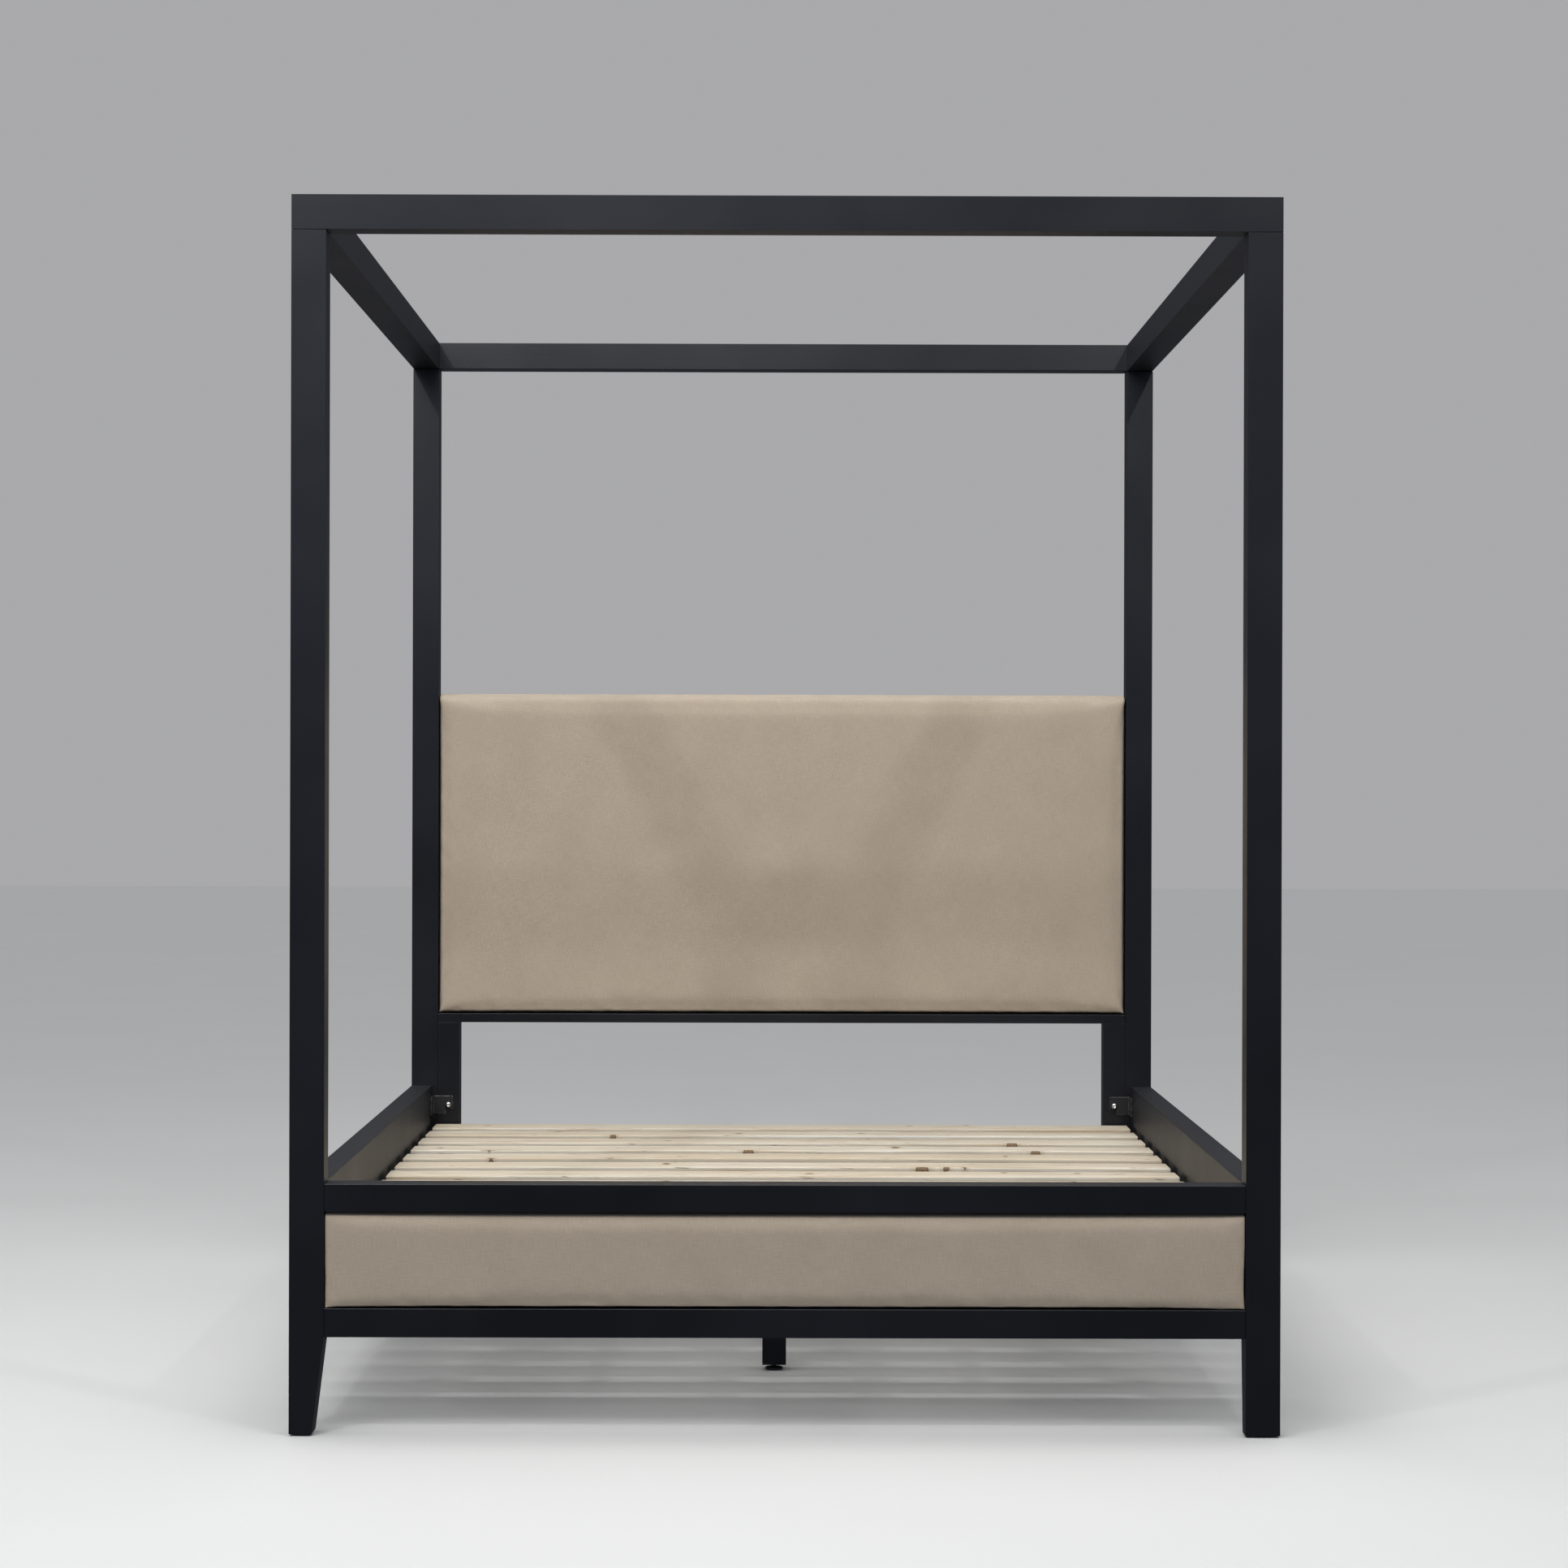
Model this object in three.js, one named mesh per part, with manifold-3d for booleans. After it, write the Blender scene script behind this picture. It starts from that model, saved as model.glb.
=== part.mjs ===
// Four poster canopy bed for a 1524 x 2032 mm mattress. A square black timber frame carries an
// upholstered headboard and footboard, and a roll of pine slats lies on a centre beam inside it.
// Millimetres, +Z up, +X to the right and +Y towards the head, seen from the foot of the bed.
// The origin is on the floor under the middle of the frame.

import * as THREE from "three";
import { mergeVertices } from "three/addons/utils/BufferGeometryUtils.js";
import Module from "manifold-3d";

const wasm = await Module();
wasm.setup();

// Whole frame
const WIDTH = 1651;
const LENGTH = 2168;
const HEIGHT = 2067;
const GAP = 0.3; // clearance where two pieces meet
const HALF_WIDTH = WIDTH / 2;
const HALF_LENGTH = LENGTH / 2;

// Posts and canopy: one square section for both
const POST = 58;
const POST_FOOT = 38; // what one face of the leg tapers to at the floor
const TAPER_TOP = 165; // height at which that taper begins
const POST_SEAM = 1; // shadow line under the canopy rails
const CANOPY_UNDERSIDE = HEIGHT - POST;
const TENON = { side: 30, length: 17.7, room: 0.3 };
const PIN = { radius: 5, depth: 38, room: 2 };
const GLIDE = { radius: 14, height: 3 };

// Footboard, between the foot posts
const FOOTBOARD = { bottom: 165, panelBottom: 213, panelTop: 374, top: 420 };
const FOOT_CUSHION = { setback: 1, depth: 32, corner: 3, roll: 5 }; // set back from the posts' front faces

// Headboard, between the head posts
const HEADBOARD = { railBottom: 551, panelBottom: 571, top: 1285 };
const HEAD_CUSHION = { proud: 4, depth: 48, corner: 10, roll: 8 }; // proud of the posts' front faces
const HEAD_BOARD_MARGIN = 6; // the board behind stays this far inside the cushion's outline
const HEAD_LEG = { width: 48, bottom: 200 };
const CROSS_RAIL = { bottom: 215, height: 85, thickness: 25, setback: 10 };

// Side rails, and the ledges screwed to their inner faces
const SIDE_RAIL = { bottom: 210, height: 200, thickness: 46 };
const CLEAT = { width: 31.7, height: 30, endMargin: 26 };

// Slats, webbing and the beam under them
const SLAT = { length: 1536, width: 96, thickness: 14, top: 326, pitch: 164, count: 12, edge: 3 };
const HEAD_SLAT_GAP = 25; // from the last slat to the headboard legs
const WEBBING = { width: 38, thickness: 1.5, offset: 450 };
const BEAM = { width: 25, height: 70, offset: 18 };
const CENTRE_LEG = { side: 44, bottom: 11, spacing: 740, topClearance: 7 };
const LEVELLER = { padRadius: 16, padHeight: 6.5, padEdge: 1.5, stemRadius: 4, stemTop: 52 };
const STEM_ROOM = 12; // free depth of the leg's hole above the stem
const HANGER = { sheet: 3, room: 0.5, depth: 30, height: 52 };

// Angle brackets that bolt the side rails on
const BRACKET = { flange: 46, arm: 45, height: 40, boltHeight: 367, sheet: 3 };
const BRACKET_NOTCH = { width: 16, height: 12 }; // cut from the flange's lower free corner
const BOLT = { radius: 4, length: 20, washer: 8.5, washerHeight: 1.2, head: 6.5, headHeight: 4.5 };

const POST_CENTRE_X = HALF_WIDTH - POST / 2;
const POST_CENTRE_Y = HALF_LENGTH - POST / 2;
const INNER_X = HALF_WIDTH - POST; // inner faces of the posts, across the bed
const INNER_Y = HALF_LENGTH - POST; // inner faces of the posts, along the bed
const RAIL_FACE = HALF_WIDTH - SIDE_RAIL.thickness; // inner faces of the side rails
const SLAT_BOTTOM = SLAT.top - SLAT.thickness;
const LEDGE_TOP = SLAT_BOTTOM - GAP; // what the slats rest on
const BOLT_X = INNER_X - GAP - HEAD_LEG.width / 2; // bracket bolts, in the middle of the headboard legs

const paintedTimber = new THREE.MeshStandardMaterial({ color: 0x1b1d21, roughness: 0.35, metalness: 0 });
const upholstery = new THREE.MeshStandardMaterial({ color: 0xb3a48f, roughness: 0.95, metalness: 0 });
const boardTimber = new THREE.MeshStandardMaterial({ color: 0x8c7354, roughness: 0.8, metalness: 0 });
const pine = new THREE.MeshStandardMaterial({ color: 0xdccdaa, roughness: 0.7, metalness: 0 });
const webbingCloth = new THREE.MeshStandardMaterial({ color: 0x2a2a2c, roughness: 0.9, metalness: 0 });
const blackSteel = new THREE.MeshStandardMaterial({ color: 0x161718, roughness: 0.4, metalness: 0.6 });
const zincSteel = new THREE.MeshStandardMaterial({ color: 0xc9ccd0, roughness: 0.25, metalness: 1 });
const glidePlastic = new THREE.MeshStandardMaterial({ color: 0x101112, roughness: 0.6, metalness: 0 });

const bed = new THREE.Group();

/** Adds one named piece to a group, at a place in that group. */
function addPiece(group, name, geometry, material, x = 0, y = 0, z = 0) {
  const mesh = new THREE.Mesh(geometry.clone(), material.clone());
  mesh.name = name;
  mesh.position.set(x, y, z);
  group.add(mesh);
}

/** A rectangular block between two values on each axis. */
function block([x0, x1], [y0, y1], [z0, z1]) {
  const geometry = new THREE.BoxGeometry(x1 - x0, y1 - y0, z1 - z0);
  return geometry.translate((x0 + x1) / 2, (y0 + y1) / 2, (z0 + z1) / 2);
}

/** An upright round bar on the Z axis, from z0 to z1. */
function roundBar(radius, z0, z1, sides = 20) {
  const bar = new THREE.CylinderGeometry(radius, radius, z1 - z0, sides);
  return bar.rotateX(Math.PI / 2).translate(0, 0, (z0 + z1) / 2);
}

/** An outline in X and Z, carried along Y for a depth centred on Y = 0. */
function upright(outline, depth) {
  const geometry = new THREE.ExtrudeGeometry(outline, { depth, bevelEnabled: false });
  return geometry.translate(0, 0, -depth / 2).rotateX(Math.PI / 2);
}

/** A three.js geometry as a manifold solid, once the corners that its faces share are merged. */
function toSolid(geometry) {
  const bare = geometry.clone();
  bare.deleteAttribute("normal");
  bare.deleteAttribute("uv");
  const merged = mergeVertices(bare);
  const vertProperties = new Float32Array(merged.attributes.position.array);
  const triVerts = new Uint32Array(merged.index.array);
  return new wasm.Manifold(new wasm.Mesh({ numProp: 3, vertProperties, triVerts }));
}

/** A manifold solid as a three.js geometry. */
function toGeometry(solid) {
  const { vertProperties, triVerts } = solid.getMesh();
  const geometry = new THREE.BufferGeometry();
  geometry.setAttribute("position", new THREE.BufferAttribute(vertProperties, 3));
  geometry.setIndex(new THREE.BufferAttribute(triVerts, 1));
  return geometry;
}

/** A body with every one of the tools cut out of it. */
function cut(body, ...tools) {
  return toGeometry(tools.reduce((solid, tool) => solid.subtract(toSolid(tool)), toSolid(body)));
}

/** Two bodies as one. */
function join(body, other) {
  return toGeometry(toSolid(body).add(toSolid(other)));
}

/** A post about its own axis: its +X face tapers below the footboard, and a pin hole is in its top. */
function postGeometry() {
  const half = POST / 2;
  const foot = GLIDE.height + GAP;
  const top = CANOPY_UNDERSIDE - POST_SEAM;
  const outline = new THREE.Shape();
  outline.moveTo(-half, foot).lineTo(POST_FOOT - half, foot).lineTo(half, TAPER_TOP);
  outline.lineTo(half, top).lineTo(-half, top);
  const pinHole = roundBar(PIN.radius + GAP, top - PIN.depth - PIN.room, top + 1);
  return cut(upright(outline, POST), pinHole);
}

/** Four posts of one design, each turned a quarter turn from the last, with its glide and pin. */
function addPosts() {
  const post = postGeometry();
  const glide = roundBar(GLIDE.radius, 0, GLIDE.height);
  const pinMiddle = CANOPY_UNDERSIDE - POST_SEAM / 2;
  const pin = roundBar(PIN.radius, pinMiddle - PIN.depth, pinMiddle + PIN.depth);
  const front = [["front_left", -1, -1], ["front_right", 1, -1]];
  const head = [["head_right", 1, 1], ["head_left", -1, 1]];
  [...front, ...head].forEach(([corner, sideX, sideY], turn) => {
    const group = new THREE.Group();
    group.position.set(sideX * POST_CENTRE_X, sideY * POST_CENTRE_Y, 0);
    group.rotation.z = (turn * Math.PI) / 2;
    addPiece(group, `post_${corner}`, post, paintedTimber);
    addPiece(group, `post_glide_${corner}`, glide, glidePlastic, (POST_FOOT - POST) / 2);
    addPiece(group, `canopy_pin_${corner}`, pin, zincSteel);
    bed.add(group);
  });
}

/** A canopy cross rail at Y = 0, with pin holes from below and a mortise at each end of its +Y face. */
function canopyCrossRailGeometry() {
  const half = POST / 2;
  const pocket = TENON.side / 2 + TENON.room;
  const middle = CANOPY_UNDERSIDE + half;
  const holeTop = CANOPY_UNDERSIDE + PIN.depth + PIN.room;
  const cuts = [-1, 1].flatMap((side) => {
    const x = side * POST_CENTRE_X;
    const pinHole = roundBar(PIN.radius + GAP, CANOPY_UNDERSIDE - 1, holeTop).translate(x, 0, 0);
    const mortiseFloor = half - TENON.length - TENON.room;
    const mortiseHeight = [middle - pocket, middle + pocket];
    const mortise = block([x - pocket, x + pocket], [mortiseFloor, half + 1], mortiseHeight);
    return [pinHole, mortise];
  });
  return cut(block([-HALF_WIDTH, HALF_WIDTH], [-half, half], [CANOPY_UNDERSIDE, HEIGHT]), ...cuts);
}

/** A canopy side rail at X = 0, with a stub tenon on each end. */
function canopySideRailGeometry() {
  const half = POST / 2;
  const pocket = TENON.side / 2;
  const middle = CANOPY_UNDERSIDE + half;
  const end = INNER_Y - GAP;
  const reach = end + TENON.length;
  const rail = block([-half, half], [-end, end], [CANOPY_UNDERSIDE, HEIGHT]);
  return join(rail, block([-pocket, pocket], [-reach, reach], [middle - pocket, middle + pocket]));
}

function addCanopy() {
  const crossRail = canopyCrossRailGeometry();
  addPiece(bed, "canopy_rail_front", crossRail, paintedTimber, 0, -POST_CENTRE_Y);
  addPiece(bed, "canopy_rail_head", crossRail.clone().rotateZ(Math.PI), paintedTimber, 0, POST_CENTRE_Y);
  const sideRail = canopySideRailGeometry();
  addPiece(bed, "canopy_rail_left", sideRail, paintedTimber, -POST_CENTRE_X);
  addPiece(bed, "canopy_rail_right", sideRail, paintedTimber, POST_CENTRE_X);
}

/** A padded panel with rolled edges: an outline in X and Z with rounded top corners. */
function cushionGeometry(halfWidth, bottom, top, { depth, corner, roll }) {
  const x = halfWidth - roll;
  const z0 = bottom + roll;
  const z1 = top - roll;
  const r = corner;
  const outline = new THREE.Shape();
  outline.moveTo(-x, z0).lineTo(x, z0).lineTo(x, z1 - r).absarc(x - r, z1 - r, r, 0, Math.PI / 2);
  outline.lineTo(-x + r, z1).absarc(-x + r, z1 - r, r, Math.PI / 2, Math.PI);
  const bevel = { bevelThickness: roll, bevelSize: roll, bevelSegments: 2 };
  const flatDepth = depth - 2 * roll;
  const geometry = new THREE.ExtrudeGeometry(outline, { depth: flatDepth, curveSegments: 4, ...bevel });
  return geometry.translate(0, 0, -depth / 2 + roll).rotateX(Math.PI / 2);
}

/** The footboard: two rails between the foot posts, a core board and the cushion in front of it. */
function addFootboard() {
  const x = INNER_X - GAP;
  const front = -HALF_LENGTH;
  const back = -INNER_Y;
  const cushionFront = front + FOOT_CUSHION.setback;
  const cushionBack = cushionFront + FOOT_CUSHION.depth;
  const panelBottom = FOOTBOARD.panelBottom + GAP;
  const panelTop = FOOTBOARD.panelTop - GAP;
  const topRail = block([-x, x], [front, back], [FOOTBOARD.panelTop, FOOTBOARD.top]);
  const bottomRail = block([-x, x], [front, back], [FOOTBOARD.bottom, FOOTBOARD.panelBottom]);
  const cushion = cushionGeometry(x, panelBottom, panelTop, FOOT_CUSHION);
  const core = block([-x, x], [cushionBack + GAP, back], [panelBottom, panelTop]);
  const boltHoles = [-1, 1].map((side) => boltHole().translate(side * BOLT_X, back, BRACKET.boltHeight));
  addPiece(bed, "footboard_top_rail", topRail, paintedTimber);
  addPiece(bed, "footboard_bottom_rail", bottomRail, paintedTimber);
  addPiece(bed, "footboard_cushion", cushion, upholstery, 0, (cushionFront + cushionBack) / 2);
  addPiece(bed, "footboard_core_board", cut(core, ...boltHoles), boardTimber);
}

/** The headboard: a cushion on a core board, over a thin rail on two short legs between the posts. */
function addHeadboard() {
  const x = INNER_X - GAP;
  const front = INNER_Y;
  const back = HALF_LENGTH;
  const cushionFront = front - HEAD_CUSHION.proud;
  const cushionBack = cushionFront + HEAD_CUSHION.depth;
  const boardX = x - HEAD_BOARD_MARGIN;
  const panelBottom = HEADBOARD.panelBottom + GAP;
  const boardTop = HEADBOARD.top - HEAD_BOARD_MARGIN;
  const cushion = cushionGeometry(x, panelBottom, HEADBOARD.top, HEAD_CUSHION);
  const board = block([-boardX, boardX], [cushionBack + GAP, back], [panelBottom, boardTop]);
  const rail = block([-x, x], [front, back], [HEADBOARD.railBottom, HEADBOARD.panelBottom]);
  addPiece(bed, "headboard_cushion", cushion, upholstery, 0, (cushionFront + cushionBack) / 2);
  addPiece(bed, "headboard_core_board", board, boardTimber);
  addPiece(bed, "headboard_bottom_rail", rail, paintedTimber);
  const legHeight = [HEAD_LEG.bottom, HEADBOARD.railBottom - GAP];
  const legBlock = block([x - HEAD_LEG.width, x], [front, back], legHeight);
  const leg = cut(legBlock, boltHole().rotateZ(Math.PI).translate(BOLT_X, front, BRACKET.boltHeight));
  addPiece(bed, "headboard_leg_right", leg, paintedTimber);
  addPiece(bed, "headboard_leg_left", leg.clone().translate(HEAD_LEG.width - 2 * x, 0, 0), paintedTimber);
  addCrossRail(x - HEAD_LEG.width - GAP, front + CROSS_RAIL.setback);
}

/** The low cross rail between the headboard legs, which carries the head end of the beam. */
function addCrossRail(x, front) {
  const zs = [CROSS_RAIL.bottom, CROSS_RAIL.bottom + CROSS_RAIL.height];
  const rail = block([-x, x], [front, front + CROSS_RAIL.thickness], zs);
  addPiece(bed, "head_cross_rail", rail, paintedTimber);
}

/** The side rails, flush with the posts outside, and a ledge along the inner face of each. */
function addSideRails() {
  const end = INNER_Y - GAP;
  const cleatEnd = INNER_Y - CLEAT.endMargin;
  const half = SIDE_RAIL.thickness / 2;
  const railHeight = [SIDE_RAIL.bottom, SIDE_RAIL.bottom + SIDE_RAIL.height];
  const rail = block([-half, half], [-end, end], railHeight);
  const cleatHalf = CLEAT.width / 2;
  const cleat = block([-cleatHalf, cleatHalf], [-cleatEnd, cleatEnd], [LEDGE_TOP - CLEAT.height, LEDGE_TOP]);
  for (const [name, side] of [["left", -1], ["right", 1]]) {
    addPiece(bed, `side_rail_${name}`, rail, paintedTimber, side * (HALF_WIDTH - half));
    addPiece(bed, `slat_cleat_${name}`, cleat, paintedTimber, side * (RAIL_FACE - GAP - cleatHalf));
  }
}

/** A slat across the bed: a thin board with rounded long edges, centred on X and Y, top at Z = 0. */
function slatGeometry() {
  const y = SLAT.width / 2;
  const z = -SLAT.thickness;
  const r = SLAT.edge;
  const section = new THREE.Shape();
  section.moveTo(-y + r, z).lineTo(y - r, z).absarc(y - r, z + r, r, -Math.PI / 2, 0);
  section.lineTo(y, -r).absarc(y - r, -r, r, 0, Math.PI / 2);
  section.lineTo(-y + r, 0).absarc(-y + r, -r, r, Math.PI / 2, Math.PI);
  section.lineTo(-y, z + r).absarc(-y + r, z + r, r, Math.PI, Math.PI * 1.5);
  const along = { depth: SLAT.length, bevelEnabled: false, curveSegments: 3 };
  const slat = new THREE.ExtrudeGeometry(section, along);
  return slat.translate(0, 0, -SLAT.length / 2).rotateX(Math.PI / 2).rotateZ(Math.PI / 2);
}

/** The slats, counted from the foot, and the two webbing straps stapled under them. */
function addSlats() {
  const slat = slatGeometry();
  const headSlat = INNER_Y - HEAD_SLAT_GAP - SLAT.width / 2;
  for (let i = 0; i < SLAT.count; i += 1) {
    const y = headSlat - (SLAT.count - 1 - i) * SLAT.pitch;
    addPiece(bed, `slat_${String(i + 1).padStart(2, "0")}`, slat, pine, 0, y, SLAT.top);
  }
  const footEdge = headSlat - (SLAT.count - 1) * SLAT.pitch - SLAT.width / 2;
  const half = WEBBING.width / 2;
  const top = SLAT_BOTTOM - GAP;
  const strap = block([-half, half], [footEdge, headSlat + SLAT.width / 2], [top - WEBBING.thickness, top]);
  addPiece(bed, "slat_webbing_left", strap, webbingCloth, -WEBBING.offset);
  addPiece(bed, "slat_webbing_right", strap, webbingCloth, WEBBING.offset);
}

/** A sheet steel cup for one end of the beam: its back is at Y = 0 and it opens to +Y and up. */
function hangerGeometry() {
  const { sheet, room, depth, height } = HANGER;
  const inside = BEAM.width / 2 + room;
  const outside = inside + sheet;
  const shell = block([-outside, outside], [0, sheet + depth], [-sheet, height]);
  return cut(shell, block([-inside, inside], [sheet, sheet + depth + 1], [0, height + 1]));
}

/** The beam down the middle of the bed, in a hanger at each end. */
function addBeam() {
  const footFace = -INNER_Y + GAP;
  const headFace = INNER_Y + CROSS_RAIL.setback - GAP;
  const beamBottom = LEDGE_TOP - BEAM.height;
  const endRoom = HANGER.sheet + 1;
  const half = BEAM.width / 2;
  const beam = block([-half, half], [footFace + endRoom, headFace - endRoom], [beamBottom, LEDGE_TOP]);
  const footHanger = hangerGeometry();
  const headHanger = footHanger.clone().rotateZ(Math.PI);
  const floor = beamBottom - GAP;
  addPiece(bed, "centre_beam", beam, paintedTimber, BEAM.offset);
  addPiece(bed, "beam_hanger_foot", footHanger, blackSteel, BEAM.offset, footFace, floor);
  addPiece(bed, "beam_hanger_head", headHanger, blackSteel, BEAM.offset, headFace, floor);
}

/** A leveller: a round pad on a threaded stem, made as one turned piece. */
function levellerGeometry() {
  const { padRadius, padHeight, padEdge, stemRadius, stemTop } = LEVELLER;
  const profile = [
    [0, 0], [padRadius - padEdge, 0], [padRadius, padEdge], [padRadius, padHeight - padEdge],
    [padRadius - padEdge, padHeight], [stemRadius, padHeight], [stemRadius, stemTop], [0, stemTop],
  ];
  const points = profile.map(([r, z]) => new THREE.Vector2(r, z));
  return new THREE.LatheGeometry(points, 24).rotateX(Math.PI / 2);
}

/** The two legs bolted to the left side of the beam, each with a leveller screwed up into its foot. */
function addCentreLegs() {
  const half = CENTRE_LEG.side / 2;
  const x = BEAM.offset - BEAM.width / 2 - GAP - half;
  const columnHeight = [CENTRE_LEG.bottom, LEDGE_TOP - CENTRE_LEG.topClearance];
  const column = block([-half, half], [-half, half], columnHeight);
  const hole = roundBar(LEVELLER.stemRadius + GAP, CENTRE_LEG.bottom - 1, LEVELLER.stemTop + STEM_ROOM);
  const leg = cut(column, hole);
  const leveller = levellerGeometry();
  for (const [name, side] of [["front", -1], ["rear", 1]]) {
    const y = (side * CENTRE_LEG.spacing) / 2;
    addPiece(bed, `centre_leg_${name}`, leg, paintedTimber, x, y);
    addPiece(bed, `leveller_foot_${name}`, leveller, glidePlastic, x, y);
  }
}

/** The hole for a bracket bolt, opening at Y = 0 and running towards -Y. */
function boltHole() {
  const hole = new THREE.CylinderGeometry(BOLT.radius + GAP, BOLT.radius + GAP, BOLT.length + 2, 16);
  return hole.translate(0, -BOLT.length / 2, 0);
}

/**
 * An angle bracket for the foot right corner: a flange at Y = 0 and an arm along the rail at X = 0.
 * The bolt's height is Z = 0.
 */
function bracketGeometry() {
  const { flange, arm, height, sheet } = BRACKET;
  const section = new THREE.Shape();
  section.moveTo(0, 0).lineTo(0, arm).lineTo(-sheet, arm).lineTo(-sheet, sheet);
  section.lineTo(-flange, sheet).lineTo(-flange, 0);
  const angle = new THREE.ExtrudeGeometry(section, { depth: height, bevelEnabled: false });
  const bottom = -height / 2;
  angle.translate(0, 0, bottom);
  const hole = new THREE.CylinderGeometry(BOLT.radius + GAP, BOLT.radius + GAP, sheet * 4, 16);
  const corner = [bottom - 1, bottom + BRACKET_NOTCH.height];
  const notch = block([-flange - 1, BRACKET_NOTCH.width - flange], [-1, sheet + 1], corner);
  return cut(angle, hole.translate(BOLT_X - RAIL_FACE + GAP, 0, 0), notch);
}

/** A bolt along Y with a round head and washer on its +Y end, its shank below Y = 0. */
function boltGeometry() {
  const { radius, length, washer, head, headHeight, washerHeight } = BOLT;
  const top = washerHeight + headHeight;
  const profile = [
    [0, -length], [radius, -length], [radius, 0], [washer, 0], [washer, washerHeight],
    [head, washerHeight], [head, top - 1], [head - 1, top], [0, top],
  ];
  return new THREE.LatheGeometry(profile.map(([r, y]) => new THREE.Vector2(r, y)), 16);
}

/** The same shape turned over left to right, end to end, or both, with its faces still pointing out. */
function mirrored(geometry, signX, signY) {
  const copy = geometry.clone().scale(signX, signY, 1);
  if (signX * signY < 0) copy.index.array.reverse();
  return copy;
}

/** One bracket and bolt at each end of each side rail. */
function addBrackets() {
  const bracket = bracketGeometry();
  const bolt = boltGeometry();
  const z = BRACKET.boltHeight;
  for (const [end, sideY] of [["front", -1], ["head", 1]]) {
    const face = sideY * (INNER_Y - GAP);
    const boltFace = face - sideY * (BRACKET.sheet + GAP);
    const boltHere = bolt.clone().rotateZ(sideY < 0 ? 0 : Math.PI);
    for (const [name, sideX] of [["left", -1], ["right", 1]]) {
      const x = sideX * (RAIL_FACE - GAP);
      const bracketHere = mirrored(bracket, sideX, -sideY);
      addPiece(bed, `rail_bracket_${end}_${name}`, bracketHere, blackSteel, x, face, z);
      addPiece(bed, `bracket_bolt_${end}_${name}`, boltHere, zincSteel, sideX * BOLT_X, boltFace, z);
    }
  }
}

addPosts();
addCanopy();
addFootboard();
addHeadboard();
addSideRails();
addSlats();
addBeam();
addCentreLegs();
addBrackets();

export default bed;
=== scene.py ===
import math

import bmesh
import bpy
import numpy as np
from mathutils import Euler, Matrix, Vector


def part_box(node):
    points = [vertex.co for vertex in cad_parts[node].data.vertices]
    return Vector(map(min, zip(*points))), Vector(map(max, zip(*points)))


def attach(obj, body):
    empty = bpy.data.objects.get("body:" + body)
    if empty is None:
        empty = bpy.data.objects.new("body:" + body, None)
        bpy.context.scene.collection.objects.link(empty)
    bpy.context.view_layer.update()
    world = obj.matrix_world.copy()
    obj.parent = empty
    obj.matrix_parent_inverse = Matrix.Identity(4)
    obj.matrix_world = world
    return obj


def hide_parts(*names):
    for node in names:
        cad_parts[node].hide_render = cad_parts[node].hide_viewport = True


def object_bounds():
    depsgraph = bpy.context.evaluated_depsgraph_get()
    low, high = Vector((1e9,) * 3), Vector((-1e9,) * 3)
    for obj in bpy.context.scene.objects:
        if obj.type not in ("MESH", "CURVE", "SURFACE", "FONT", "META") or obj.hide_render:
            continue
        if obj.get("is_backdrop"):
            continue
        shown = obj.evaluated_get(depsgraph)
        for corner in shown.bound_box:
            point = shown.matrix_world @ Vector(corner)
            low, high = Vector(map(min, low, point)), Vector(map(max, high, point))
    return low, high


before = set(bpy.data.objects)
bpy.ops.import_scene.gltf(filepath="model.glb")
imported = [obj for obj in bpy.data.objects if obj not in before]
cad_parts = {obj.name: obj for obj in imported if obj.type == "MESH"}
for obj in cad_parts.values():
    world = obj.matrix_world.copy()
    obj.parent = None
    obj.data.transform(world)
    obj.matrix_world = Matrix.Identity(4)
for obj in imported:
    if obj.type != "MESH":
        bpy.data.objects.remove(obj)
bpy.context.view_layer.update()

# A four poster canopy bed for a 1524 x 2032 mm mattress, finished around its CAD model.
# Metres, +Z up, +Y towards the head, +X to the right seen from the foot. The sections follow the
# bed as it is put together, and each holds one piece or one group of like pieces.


# ---------------------------------------------------------------------------------------- Posts
# Four square hardwood posts, filled, sanded and sprayed satin black, with only the sharpness taken
# off their arrises. One face of each leg is tapered below the footboard.

POST_ARRIS = 0.0012      # width of a sanded arris
# The lacquer's near black is its own colour; the faint blue in the deep and haze colours is painted
# reflection of a cool grey surround.
LACQUER_DEEP = (0.0040, 0.0046, 0.0070, 1)
LACQUER_HAZE = (0.0072, 0.0082, 0.0115, 1)
LACQUER_NICK = (0.105, 0.088, 0.070, 1)


def new_material(name, **sockets):
    """A material whose one shader has these values on its own sockets; returns both."""
    material = bpy.data.materials.new(name)
    material.use_nodes = True
    shader = material.node_tree.nodes["Principled BSDF"]
    for socket, value in sockets.items():
        shader.inputs[socket.replace("_", " ")].default_value = value
    return material, shader


def feed(material, socket, value):
    """Sets a socket to a value, or links another node's output into it."""
    if isinstance(value, bpy.types.NodeSocket):
        material.node_tree.links.new(value, socket)
    else:
        socket.default_value = value


def add_node(material, kind, settings=(), **inputs):
    """A node of a material, with its settings and its inputs given by name."""
    made = material.node_tree.nodes.new("ShaderNode" + kind)
    for name, value in dict(settings).items():
        setattr(made, name, value)
    for name, value in inputs.items():
        feed(material, made.inputs[name.replace("_", " ")], value)
    return made


def place_on(material, source="Object", scale=(1, 1, 1), turn=(0, 0, 0)):
    """Where a point lies on the piece, turned and stretched."""
    start = add_node(material, "TexCoord").outputs[source]
    return add_node(material, "Mapping", Vector=start, Scale=scale, Rotation=turn).outputs["Vector"]


def noise(material, place, scale=1.0, detail=2.0, roughness=0.5):
    """A soft random value from 0 to 1 that changes about scale times in a metre."""
    made = add_node(material, "TexNoise", Vector=place, Scale=scale, Detail=detail, Roughness=roughness)
    return made.outputs["Fac"]


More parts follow.
